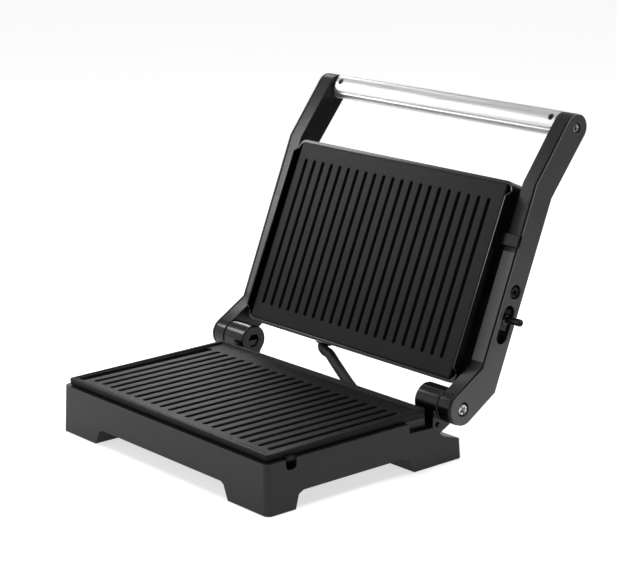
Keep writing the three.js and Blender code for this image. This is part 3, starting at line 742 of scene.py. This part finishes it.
def drain_notch():
    """Room under the plate's drain lip, with a round-ended floor."""
    loop = outline([(17.4, TOP + 1), (17.4, 29, 3.4), (26.8, 29, 3.4), (26.8, TOP + 1)], 8)
    return prism(loop, 110, HALF_BASE + 1, SIDEWAYS)


def pad_form(corner, gap):
    """A foot pad's outline and its lowest and highest level, with a gap round it."""
    low, high = box_in(f"foot_pad_{corner}", LOWER)
    middle = (low + high) / 2
    return disc(*middle.xy, (high.x - low.x) / 2 + gap), low.z - gap, high.z + gap


def base_shell():
    shell = base_block()
    combine(shell, [prism(deck_profile, -HALF_BASE - 1, HALF_BASE + 1, SIDEWAYS)], "INTERSECT")
    combine(shell, [brick(-114.6, 114.6, STEP_Y - 4, 152.5, 25, TOP - 0.02, 2)], "UNION")
    front_arch = outline([
        (-78.9, -1), (78.9, -1), (73.4, 11, 1.4), (70.5, FOOT_ARCH, 3), (-70.5, FOOT_ARCH, 3),
        (-73.4, 11, 1.4)], 4)
    side_arch = outline([
        (24.3, -1), (135.9, -1), (131.4, 9.4, 1.5), (127.8, FOOT_ARCH, 3), (32, FOOT_ARCH, 3),
        (27.8, 10.4, 1.5)], 4)
    combine(shell, [
        prism(front_arch, -1, DEPTH + 1, LENGTHWAYS),
        prism(side_arch, -HALF_BASE - 1, HALF_BASE + 1, SIDEWAYS)])
    tools = [
        brick(-111, 111, 7, 149, FLOOR_TOP, TOP + 1, 4),
        brick(-107.6, 107.6, 30.4, 129.6, FOOT_ARCH - 1, FLOOR_TOP + 3, 3),
        drain_notch(),
    ]
    for corner in CORNERS:
        loop, _, pad_top = pad_form(corner, PAD_GAP)
        tools.append(prism(loop, -1, pad_top, FLAT))
    combine(shell, tools)
    return soften(shell, 0.9)


show(base_shell(), "base", "charcoal_plastic", "base_housing")

# ---------------------------------------------------------------- feet and bottom cover
screw_holes = []
for corner in CORNERS:
    pad = slab(f"pad_{corner}", *pad_form(corner, 0), FLAT, LOWER, 0.8)
    show(pad, "base", "black_rubber", f"foot_pad_{corner}")

    screw_low, screw_high = box_in(f"bottom_screw_{corner}", LOWER)
    middle = (screw_low + screw_high) / 2
    head = slab(f"cover_screw_{corner}", disc(*middle.xy, 3, 32), -screw_low.z - 1.6,
                -screw_low.z, DOWNWARDS, LOWER, 0.5,
                pockets=[(cross(*middle.xy, 1.7, 0.7), 1.0, 0.1)])
    show(head, "base", "bright_steel", f"bottom_screw_{corner}")
    screw_holes.append(disc(*middle.xy, 1.7, 24))

cover_low, cover_high = box_in("bottom_cover", LOWER)
vents = [rounded_box(i * 20 - 6, i * 20 + 6, 70, 74, 1.9, 6) for i in range(-4, 5)]
cover = slab("cover_plate", rounded_box(cover_low.x, cover_high.x, cover_low.y, cover_high.y, 3),
             cover_low.z, cover_high.z, FLAT, LOWER, 0.3, holes=vents + screw_holes)
show(cover, "base", "black_plastic", "bottom_cover")

# ---------------------------------------------------------------- hinges
HINGE_RADIUS = 12
for side, sign in SIDES:
    inner, outer = reach_of(f"hinge_bracket_{side}", LOWER)
    barrel = slab(f"hinge_barrel_{side}", disc(*HINGE, HINGE_RADIUS, 64), -outer, -inner,
                  inward_plane(sign), LOWER, 1.1,
                  pockets=[(outline([(*p, 0.6) for p in hexagon(*HINGE, 5)], 4), 6.5, 0.2)])
    leg = prism(outline([
        (156.4, HINGE_Z, 0.5), (156.4, 27.8, 1), (159, 25.6, 0.8), (163.4, 22.4, 0.8),
        (173.5, 27.4, 1), (179.4, HINGE_Z - 3.5, 0.5), (178, HINGE_Z, 0.5)], 3),
        99.6, 117.6, side_plane(sign))
    soften(leg, 0.8)
    combine(barrel, [leg], "UNION")
    barrel.data.shade_smooth()
    show(barrel, "base", "black_plastic", f"hinge_bracket_{side}")

    near, _ = reach_of(f"hinge_nut_{side}", LOWER)
    nut = slab(f"nut_{side}", hexagon(*HINGE, 4.7), -near - 4.2, -near - 2.8,
               inward_plane(sign), LOWER, 0.4, pockets=[(disc(*HINGE, 2.4, 32), 0.8, 0.1)])
    show(nut, "base", "black_steel", f"hinge_nut_{side}")

    _, far = reach_of(f"hinge_bolt_{side}", LOWER)
    bolt = slab(f"bolt_{side}", disc(*HINGE, 4.25), far - 2.6, far,
                side_plane(sign), LOWER, 0.9, pockets=[(cross(*HINGE, 2.4, 1.3), 1.9, 0.15)])
    show(bolt, "base", "bright_steel", f"hinge_bolt_{side}")

# ---------------------------------------------------------------- arms
LOWER_BEND_TOP = Vector((-17.6, 27.4))
LOWER_BEND_UNDER = Vector((-32, 8.6))
UPPER_BEND_TOP = Vector((-163.3, 25.4))
UPPER_BEND_UNDER = Vector((-168.3, 6.5))
HANDLE_SPOT = Vector((-217.4, 29.9))
ARM_TIP_RADIUS = 10.4


def touch(point, centre, radius, side):
    """The angle at which a line from a point touches a circle."""
    away = point - centre
    return math.atan2(away.y, away.x) + side * math.acos(radius / away.length)


def arm_outline():
    zero = Vector((0, 0))
    under = touch(LOWER_BEND_UNDER, zero, HINGE_RADIUS, 1)
    over = touch(LOWER_BEND_TOP, zero, HINGE_RADIUS, -1)
    if over < under:
        over += 2 * math.pi
    tip_over = touch(UPPER_BEND_TOP, HANDLE_SPOT, ARM_TIP_RADIUS, 1)
    tip_under = touch(UPPER_BEND_UNDER, HANDLE_SPOT, ARM_TIP_RADIUS, -1)
    if tip_under < tip_over:
        tip_under += 2 * math.pi
    loop = arc(0, 0, HINGE_RADIUS, under, over, 30)
    loop.append(LOWER_BEND_TOP)
    loop.append(UPPER_BEND_TOP)
    loop += arc(*HANDLE_SPOT, ARM_TIP_RADIUS, tip_over, tip_under, 24)
    loop.append(UPPER_BEND_UNDER)
    loop.append(LOWER_BEND_UNDER)
    return loop


arm_loop = arm_outline()
frame_low, frame_high = box_in("arm_frame_right", UPPER)
skin_low, skin_high = box_in("arm_cover_right", UPPER)
pivot_low, pivot_high = box_in("pivot_screw_right", UPPER)
PIVOT = ((pivot_low + pivot_high) / 2).yz
SLOT = rounded_box(-80.8, -52, 11.7, 22.7, 5.45, 12)
SEAM = (1.1, 0.8)                  # the step along a frame's outer edge, beside its cover
HIGHLIGHT_STRIP_Y = (-117.4, -36)            # painted highlight: a paler strip along the middle of an arm's food side, where that face catches the light
HIGHLIGHT_STRIP_PROUD = 0.15                 # how far the strip stands out of the arm
HIGHLIGHT_STRIP_SUNK = 1                     # and how far it reaches into it


def arm_under(y):
    """The food side of the arms, between their bends."""
    share = (y - LOWER_BEND_UNDER.x) / (UPPER_BEND_UNDER.x - LOWER_BEND_UNDER.x)
    return LOWER_BEND_UNDER.y + share * (UPPER_BEND_UNDER.y - LOWER_BEND_UNDER.y)


def screw(name, spot, radius, low, high, sign, slot, node):
    """A cross-head screw through an arm's outer side."""
    head = slab(name, disc(*spot, radius, 40), low, high, side_plane(sign), UPPER, 0.7,
                pockets=[(cross(*spot, radius * 0.5, radius * 0.3), 1.6, 0.1)])
    show(head, "arms", slot, node)


for side, sign in SIDES:
    lock_side = sign > 0
    arm = slab(f"arm_{side}", arm_loop, frame_low.x, frame_high.x, side_plane(sign), UPPER, 0.7,
               pockets=[(disc(0, 0, 5.6), 1.5, 0.2), (disc(*PIVOT, 5.8), 2.8, 0.2),
                        (disc(*HANDLE_SPOT, 4.4), 1.2, 0.2)]
               + ([(rounded_box(-84, -49, 9.8, 24.2, 1.5), 3.4, 0.3)] if lock_side else []),
               step=SEAM)
    show(arm, "arms", "charcoal_plastic", f"arm_frame_{side}")
    band = ring_piece(f"hub_band_{side}", [
        (HINGE_RADIUS - 1, frame_low.x + 0.4), (HINGE_RADIUS + 0.1, frame_low.x + 0.4),
        (HINGE_RADIUS + 0.25, frame_low.x + 0.7), (HINGE_RADIUS + 0.25, frame_high.x - 1.9),
        (HINGE_RADIUS + 0.1, frame_high.x - 1.6), (HINGE_RADIUS - 1, frame_high.x - 1.6)],
        (0, 0), side_plane(sign), UPPER, 64)
    show(band, "arms", "black_plastic")
    # Painted highlight: a strip of the cover's paler grey where the food side catches the light.
    highlight_strip = slab(
        f"arm_painted_highlight_{side}",
        [Vector((y, arm_under(y) - HIGHLIGHT_STRIP_PROUD)) for y in HIGHLIGHT_STRIP_Y]
        + [Vector((y, arm_under(y) + HIGHLIGHT_STRIP_SUNK)) for y in reversed(HIGHLIGHT_STRIP_Y)],
        frame_low.x + 0.5, frame_high.x - 1.2, side_plane(sign), UPPER, 0.12)
    show(highlight_strip, "arms", "arm_grey_plastic")
    holes = [disc(0, 0, 5.3), disc(*PIVOT, 5.5), disc(*HANDLE_SPOT, 4.1)]
    if lock_side:
        holes.append(SLOT)
    skin = slab(f"arm_skin_{side}", inset(arm_loop, 0.15), skin_low.x, skin_high.x,
                side_plane(sign), UPPER, 0.45, holes=holes)
    show(skin, "arms", "arm_grey_plastic", f"arm_cover_{side}")
    screw(f"pivot_{side}", PIVOT, 4.3, frame_high.x - 2, pivot_high.x, sign, "black_steel",
          f"pivot_screw_{side}")
    _, far = reach_of(f"handle_screw_{side}", UPPER)
    screw(f"grip_screw_{side}", HANDLE_SPOT, 3.25, frame_high.x - 1, far, sign, "bright_steel",
          f"handle_screw_{side}")
    bush = slab(f"bush_{side}", disc(*PIVOT, 7), *reach_of(f"pivot_bush_{side}", UPPER),
                side_plane(sign), UPPER, 0.5)
    show(bush, "arms", "black_plastic", f"pivot_bush_{side}")

# ---------------------------------------------------------------- handle
shell_low, shell_high = box_in("handle_shell", UPPER)
OVAL_Y = (shell_low.y + shell_high.y) / 2 + 0.5
OVAL_Z = HANDLE_SPOT.y - 0.2
OVAL_HALF_Y = 9.65
OVAL_HALF_Z = 6.6
HALF_HANDLE = shell_high.x
INSERT_TOP = OVAL_Z - 2
INSERT_NEAR = OVAL_Y + 5.15
FACE_SCREW_X = 114.3
FACE_SCREW_Y = OVAL_Y - 2.85


def oval(name):
    loop = [Vector((OVAL_Y + OVAL_HALF_Y * p.x, OVAL_Z + OVAL_HALF_Z * p.y))
            for p in disc(0, 0, 1, 72)]
    return slab(name, loop, -HALF_HANDLE, HALF_HANDLE, SIDEWAYS, UPPER, 1.6)


def insert_blank(clearance, radius):
    reach = HALF_HANDLE - 0.8 + clearance
    loop = rounded_box(-reach, reach, OVAL_Y - 15, INSERT_NEAR + 5 * clearance, radius, 12)
    return prism(loop, OVAL_Z - 12, INSERT_TOP + clearance, FLAT, UPPER)


handle_shell = combine(oval("grip_shell"), [insert_blank(0.35, 7.3)])
show(soften(handle_shell, 0.35, 2, 40), "arms", "brushed_aluminium", "handle_shell")
handle_insert = combine(oval("grip_insert"), [insert_blank(0, 7)], "INTERSECT")
combine(handle_insert, [
    prism(disc(sign * FACE_SCREW_X, FACE_SCREW_Y, 2.5, 32), OVAL_Z - 9, INSERT_TOP - 2, FLAT, UPPER)
    for _, sign in SIDES])
show(soften(handle_insert, 0.3, 2, 40), "arms", "brushed_aluminium", "handle_insert")
for side, sign in SIDES:
    x = sign * FACE_SCREW_X
    head_low = box_in(f"handle_face_screw_{side}", UPPER)[0].z
    head = slab(f"face_screw_{side}", disc(x, FACE_SCREW_Y, 2.3, 32), -INSERT_TOP + 1.0, -head_low,
                DOWNWARDS, UPPER, 0.4,
                pockets=[(cross(x, FACE_SCREW_Y, 1.3, 0.6), 0.8, 0.1)])
    show(head, "arms", "black_steel", f"handle_face_screw_{side}")

# ---------------------------------------------------------------- lid lock
lock_low, lock_high = box_in("lock_bar", UPPER)
knob_low, knob_high = box_in("lock_knob", UPPER)
KNOB = ((knob_low + knob_high) / 2).yz
lock_bar = slab("lock_strip", outline([
    (lock_low.y, 9.8, 0.6), (-78, 9.8, 0.4), (-62, 9.8, 3), (-62, 23.4, 3), (-78, 23.4, 3),
    (-78, 12.8, 0.5), (lock_low.y, 12.8, 0.6)], 5), frame_high.x - 3, frame_high.x - 0.3,
    SIDEWAYS, UPPER, 0.25)
show(lock_bar, "lid_lock", "black_plastic", "lock_bar")
HOOK_Y = (lock_low.y, lock_low.y + 9.5)
hook = slab("lock_hook", outline([
    (HOOK_Y[0], lock_low.z, 0.8), (HOOK_Y[1], lock_low.z, 0.8), (HOOK_Y[1], lock_low.z + 2.3, 0.6),
    (HOOK_Y[0], lock_low.z + 2.3, 0.6)], 4), lock_low.x, lock_high.x, SIDEWAYS, UPPER, 0.5)
show(hook, "lid_lock", "black_plastic")
knob = turned("lock_pin", [
    (0.2, knob_low.x), (1.5, knob_low.x), (1.5, frame_high.x), (4.3, frame_high.x + 0.1),
    (4.6, frame_high.x + 0.4), (4.6, skin_high.x - 1.6), (4.2, skin_high.x - 1.0),
    (3.0, skin_high.x - 0.8), (2.55, skin_high.x - 0.2), (2.45, skin_high.x + 2),
    (2.45, knob_high.x - 4.6), (2.7, knob_high.x - 4.1), (2.7, knob_high.x - 0.7),
    (2.45, knob_high.x - 0.2), (1.9, knob_high.x), (1.5, knob_high.x - 0.3),
    (1.2, knob_high.x - 0.9), (0.2, knob_high.x - 1.0)], KNOB, SIDEWAYS, UPPER)
show(knob, "lid_lock", "black_plastic", "lock_knob")

# ---------------------------------------------------------------- lid
lid_low, lid_high = box_in("lid_housing", UPPER)
LID_WALL = 2.5
SIDE_WALL = 1.3                    # the side walls are thinner than the others,
SIDE_RIM_Z = -1.8                  # and reach past the plate,
RIM_END = 7.5                      # but not this close to the corners
RIM_RAMP = 4
CHAMFER_X = 9
CHAMFER_Y = 12
CHAMFER_START = 21.5
LENS_HOLE = 3.2


def lid_ring(build, side_inset, end_inset, radius, z):
    x0 = lid_low.x + side_inset
    x1 = lid_high.x - side_inset
    y0 = lid_low.y + end_inset
    y1 = lid_high.y - end_inset
    ramp = (lid_low.y + RIM_END, lid_low.y + RIM_END + RIM_RAMP,
            lid_high.y - RIM_END - RIM_RAMP, lid_high.y - RIM_END)
    up = [(x1, y) for y in ramp]
    down = [(x0, y) for y in reversed(ramp)]
    return build.ring(outline([
        (x0, y0, radius), (x1, y0, radius), *up, (x1, y1, radius), (x0, y1, radius), *down], 10), z)


def rim_height(above):
    """Height of the lid's rim, plus a rise: the side walls reach further than the end walls."""
    def height(point):
        from_end = min(point.y - lid_low.y, lid_high.y - point.y)
        share = min(1, max(0, (from_end - RIM_END) / RIM_RAMP))
        return lid_low.z + above + (SIDE_RIM_Z - lid_low.z) * share
    return height


def lid_shell():
    build = Build(FLAT)
    rings = []
    top = lid_high.z
    for i, z in edge_down(0, 0.4):
        rings.append(lid_ring(build, i, i, 7 - i, rim_height(z)))
    for row in (
            (0, 0, 7, CHAMFER_START - 3),
            (0.4, 0.5, 7, CHAMFER_START - 0.6),
            (1.5, 2.0, 6.6, CHAMFER_START + 1.6),
            (CHAMFER_X - 2.3, CHAMFER_Y - 3.1, 5.4, top - 2.2),
            (CHAMFER_X - 0.9, CHAMFER_Y - 1.1, 5, top - 0.7),
            (CHAMFER_X + 1, CHAMFER_Y + 1, 4.6, top),
            (16, 18, 4, top),
            (16.2, 18.2, 4, top - 0.12),
            (16.6, 18.6, 4, top - 0.5),
            (17.1, 19.1, 4, top - 0.62)):
        rings.append(lid_ring(build, *row))
    build.chain(rings)
    lens_holes = []
    for name in ("power_light", "ready_light"):
        lens_low, lens_high = box_in(name, UPPER)
        middle = (lens_low + lens_high) / 2
        lip, floor = build.wall(disc(*middle.xy, LENS_HOLE, 32), [
            (-0.3, top - 0.62), (-0.08, top - 0.7), (0, top - 0.95), (0, top - 2.3)])
        build.cap(floor)
        lens_holes.append(lip)
    build.cap(rings[-1], *lens_holes)
    inner = [
        lid_ring(build, SIDE_WALL, LID_WALL, 5, rim_height(0)),
        lid_ring(build, SIDE_WALL + 0.2, LID_WALL + 0.3, 5, rim_height(0.4)),
        lid_ring(build, SIDE_WALL + 0.3, LID_WALL + 0.3, 5, CHAMFER_START - 1),
        lid_ring(build, CHAMFER_X + 2, CHAMFER_Y + 2, 4, top - LID_WALL),
    ]
    build.join(rings[0], inner[0])
    build.chain(inner)
    build.cap(inner[-1])
    return build.finish("lid_shell", UPPER)


show(lid_shell(), "lid", "black_plastic", "lid_housing")
for name, slot_name in (("power_light", "red_lens"), ("ready_light", "green_lens")):
    lens_low, lens_high = box_in(name, UPPER)
    middle = (lens_low + lens_high) / 2
    top = lens_high.z - 0.2
    dome = turned(f"{name}_lens", [
        (2.9, lid_high.z - 2.2), (2.9, top - 0.9), (2.75, top - 0.45), (2.3, top - 0.15),
        (1.5, top - 0.02), (0.3, top)], middle.xy, FLAT, UPPER, 32)
    show(dome, "lid", slot_name, name)

# ---------------------------------------------------------------- grommets, gland and cable
CABLE_RADIUS = 4
CABLE_SIDES = 28
CURVE_STEPS = 12
RING_GAP = 0.8                     # between the cable and the rubber rings round it
DECK_SLOPE = math.atan2(DECK_BEND.y - DECK_END_Z, DEPTH - DRAFT - DECK_BEND.x)
DECK_NORMAL = Vector((0, math.sin(DECK_SLOPE), math.cos(DECK_SLOPE)))
CABLE_Y = 171.4
BASE_CABLE = Vector((18, CABLE_Y, DECK_BEND.y - (CABLE_Y - DECK_BEND.x) * math.tan(DECK_SLOPE)))
LID_CABLE = Vector((-34, lid_high.y, 13))


def on_deck(distance):
    return BASE_CABLE + DECK_NORMAL * distance


def off_lid(distance, sideways=0):
    """A point out of the lid's cable hole and along its wall, along the lower half's axes."""
    there = UPPER @ ((LID_CABLE + Vector((sideways, distance, 0))) * MM)
    return LOWER.inverted() @ there / MM


CABLE_ROUTE = [
    on_deck(0.6), on_deck(5), Vector((13.6, 174.2, 28.2)), Vector((6, 175.8, 31.8)),
    Vector((-4.5, 178.5, 36.6)), Vector((-15.3, 181, 42)), off_lid(6.9, 9.5), off_lid(5.8, 4.6),
    off_lid(4, 1.2), off_lid(2), off_lid(0.6)]


def through(points):
    """A smooth centripetal curve through the points."""
    ends = [2 * points[0] - points[1], *points, 2 * points[-1] - points[-2]]
    line = []
    for p0, p1, p2, p3 in zip(ends, ends[1:], ends[2:], ends[3:]):
        t0 = 0
        t1 = t0 + (p1 - p0).length ** 0.5
        t2 = t1 + (p2 - p1).length ** 0.5
        t3 = t2 + (p3 - p2).length ** 0.5
        for k in range(CURVE_STEPS):
            t = t1 + (t2 - t1) * k / CURVE_STEPS
            a = p0.lerp(p1, (t - t0) / (t1 - t0))
            b = p1.lerp(p2, (t - t1) / (t2 - t1))
            c = p2.lerp(p3, (t - t2) / (t3 - t2))
            d = a.lerp(b, (t - t0) / (t2 - t0))
            e = b.lerp(c, (t - t1) / (t3 - t1))
            line.append(d.lerp(e, (t - t1) / (t2 - t1)))
    line.append(points[-1])
    return line


def sleeve_tube(name, line, radius):
    """A tube along a line, with UVs once round it and in metres along it."""
    bm = bmesh.new()
    uv = bm.loops.layers.uv.new("UVMap")
    rings = []
    travelled = [0]
    side = Vector((1, 0, 0))
    for i, point in enumerate(line):
        ahead = line[min(i + 1, len(line) - 1)] - line[max(i - 1, 0)]
        ahead.normalize()
        side = (side - ahead * side.dot(ahead)).normalized()
        up = ahead.cross(side)
        if i:
            travelled.append(travelled[-1] + (point - line[i - 1]).length * MM)
        rings.append([bm.verts.new((point + (side * math.cos(t) + up * math.sin(t)) * radius) * MM)
                      for t in [2 * math.pi * k / CABLE_SIDES for k in range(CABLE_SIDES)]])
    for i in range(len(rings) - 1):
        for k in range(CABLE_SIDES):
            m = (k + 1) % CABLE_SIDES
            face = bm.faces.new((rings[i][k], rings[i][m], rings[i + 1][m], rings[i + 1][k]))
            face.smooth = True
            corners = ((k, i), (k + 1, i), (k + 1, i + 1), (k, i + 1))
            for loop, (step, row) in zip(face.loops, corners):
                loop[uv].uv = (step / CABLE_SIDES, travelled[row])
    bm.faces.new(rings[0][::-1])
    bm.faces.new(rings[-1])
    mesh = bpy.data.meshes.new(name)
    bm.to_mesh(mesh)
    bm.free()
    made = add_object(name, mesh)
    made.matrix_world = LOWER
    return made


cable = sleeve_tube("cable_sleeve_tube", through(CABLE_ROUTE), CABLE_RADIUS)
cable.data.materials.append(materials["cable_sleeve"])
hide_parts("link_cable")
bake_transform(cable)


def grommet(name, place, plane, centre, low, height, node, body):
    """A rubber ring round the cable where it enters a housing."""
    inner = CABLE_RADIUS + RING_GAP
    top = low + height
    profile = [
        (inner, low), (6.5, low), (6.6, low + 0.3), (6.4, low + height * 0.4),
        (5.8, low + height * 0.65), (5.2, top - 0.1), (inner + 0.2, top), (inner, top - 0.3)]
    show(ring_piece(name, profile, centre, plane, place), body, "black_rubber", node)


grommet("cable_ring_lid", UPPER, LENGTHWAYS, (LID_CABLE.x, LID_CABLE.z), lid_high.y + 0.3, 1.2,
        "cable_grommet_lid", "lid")
deck_place = LOWER @ Matrix.Translation(BASE_CABLE * MM) @ Matrix.Rotation(-DECK_SLOPE, 4, "X")
grommet("cable_ring_base", deck_place, FLAT, (0, 0), 0.3, 3.7, "cable_grommet_base", "base")

GLAND_RIDGES = 5
gland_low, gland_high = box_in("cord_gland", LOWER)
gland_spot = ((gland_low + gland_high) / 2).xz
gland_profile = [(3.0, gland_low.y + 6), (5.5, gland_low.y + 6)]
for ridge in range(GLAND_RIDGES):
    y = 170.4 + ridge * 2.2
    wide = 5.5 - ridge * 0.25
    gland_profile += [(wide, y), (wide, y + 1.2), (wide - 0.9, y + 1.4), (wide - 0.9, y + 2.0)]
gland_profile += [(4.2, 181.6), (3.9, gland_high.y), (3.0, gland_high.y)]
gland = ring_piece("cord_inlet", gland_profile, gland_spot, LENGTHWAYS, LOWER, 40)
show(gland, "base", "black_rubber", "cord_gland")

# ---------------------------------------------------------------- floor, light and world
LIGHT_TARGET = Vector((0, 0, 0.1))
FLOOR_SIZE = 8
FLOOR_GLOW = 0.25                  # the floor's brightness as a light on the press
FLOOR_WHITE = 0.68                 # and to the eye
WORLD_LOW = 0.78                   # the world's strength near the horizon
WORLD_HIGH = 0.3                   # and overhead
WORLD_RIGHT = 0.4                  # the share of it that is left on the press's right


def staged_sheet(name, corners, look):
    mesh = bpy.data.meshes.new(name)
    mesh.from_pydata(corners, [], [(0, 1, 2, 3)])
    sheet = add_object(name, mesh)
    mesh.materials.append(look.material)
    return sheet


def add_floor():
    half = FLOOR_SIZE / 2
    look = Look("floor")
    seen = look.add("ShaderNodeLightPath").outputs["Is Camera Ray"]
    look.set(
        Base_Color=look.mix(look.span(look.noise(300, 2), 0, 1), grey(0.8), grey(0.82)),
        Roughness=0.9,
        Emission_Color=(1, 1, 1, 1),
        Emission_Strength=look.span(seen, FLOOR_GLOW, FLOOR_WHITE, 0, 1))
    staged_sheet("floor", [(-half, -half, 0), (half, -half, 0), (half, half, 0), (-half, half, 0)],
                 look)


def add_flag(azimuth, distance, width, height):
    """A black card beside the press, seen only in its reflections."""
    out = heading(azimuth, 0)
    along = Vector((-out.y, out.x, 0)) * width / 2
    foot = out * distance
    up = Vector((0, 0, height))
    look = Look("flag")
    look.set(Base_Color=look.mix(look.span(look.noise(40, 2), 0, 1), grey(0.004), grey(0.006)),
             Roughness=1.0, Specular_IOR_Level=0.0)
    flag = staged_sheet("flag", [foot - along, foot + along, foot + along + up, foot - along + up],
                        look)
    flag.visible_camera = False
    flag.visible_shadow = False


def add_softbox(name, azimuth, elevation, distance, size, power):
    data = bpy.data.lights.new(name, "AREA")
    data.shape = "RECTANGLE"
    data.size = size[0]
    data.size_y = size[1]
    data.energy = power
    aim(add_object(name, data), LIGHT_TARGET, azimuth, elevation, distance)


def add_world():
    """White to the eye; lights the press from low down and mostly from its left."""
    world = bpy.data.worlds.new("studio")
    bpy.context.scene.world = world
    world.use_nodes = True
    nodes = world.node_tree.nodes
    links = world.node_tree.links

    def spread(value, start, end, low, high):
        node = nodes.new("ShaderNodeMapRange")
        node.interpolation_type = "SMOOTHSTEP"
        links.new(value, node.inputs["Value"])
        for key, number in (("From Min", start), ("From Max", end), ("To Min", low),
                            ("To Max", high)):
            node.inputs[key].default_value = number
        return node.outputs["Result"]

    direction = nodes.new("ShaderNodeSeparateXYZ")
    links.new(nodes.new("ShaderNodeTexCoord").outputs["Generated"], direction.inputs[0])
    by_height = spread(direction.outputs["Z"], 0.28, 0.62, WORLD_LOW, WORLD_HIGH)
    by_side = spread(direction.outputs["X"], -0.3, 0.6, 1.0, WORLD_RIGHT)
    strength = nodes.new("ShaderNodeMath")
    strength.operation = "MULTIPLY"
    links.new(by_height, strength.inputs[0])
    links.new(by_side, strength.inputs[1])
    choice = nodes.new("ShaderNodeMix")
    links.new(nodes.new("ShaderNodeLightPath").outputs["Is Camera Ray"], choice.inputs[0])
    links.new(strength.outputs[0], choice.inputs[2])
    choice.inputs[3].default_value = 1.0
    background = nodes["Background"]
    background.inputs["Color"].default_value = (1, 1, 1, 1)
    links.new(choice.outputs[0], background.inputs["Strength"])


add_floor()
add_flag(131, 0.5, 1.2, 0.32)
add_softbox("top_light", 10, 78, 1.6, (1.2, 0.8), 7)
add_softbox("left_front_light", -67, 30, 0.5, (0.14, 0.2), 0.6)
add_softbox("left_back_light", -118, 26, 0.75, (0.12, 0.42), 0.65)
add_softbox("back_light", 158, 47, 1.2, (0.4, 0.4), 5)
add_world()
bpy.context.scene.view_settings.view_transform = "Standard"
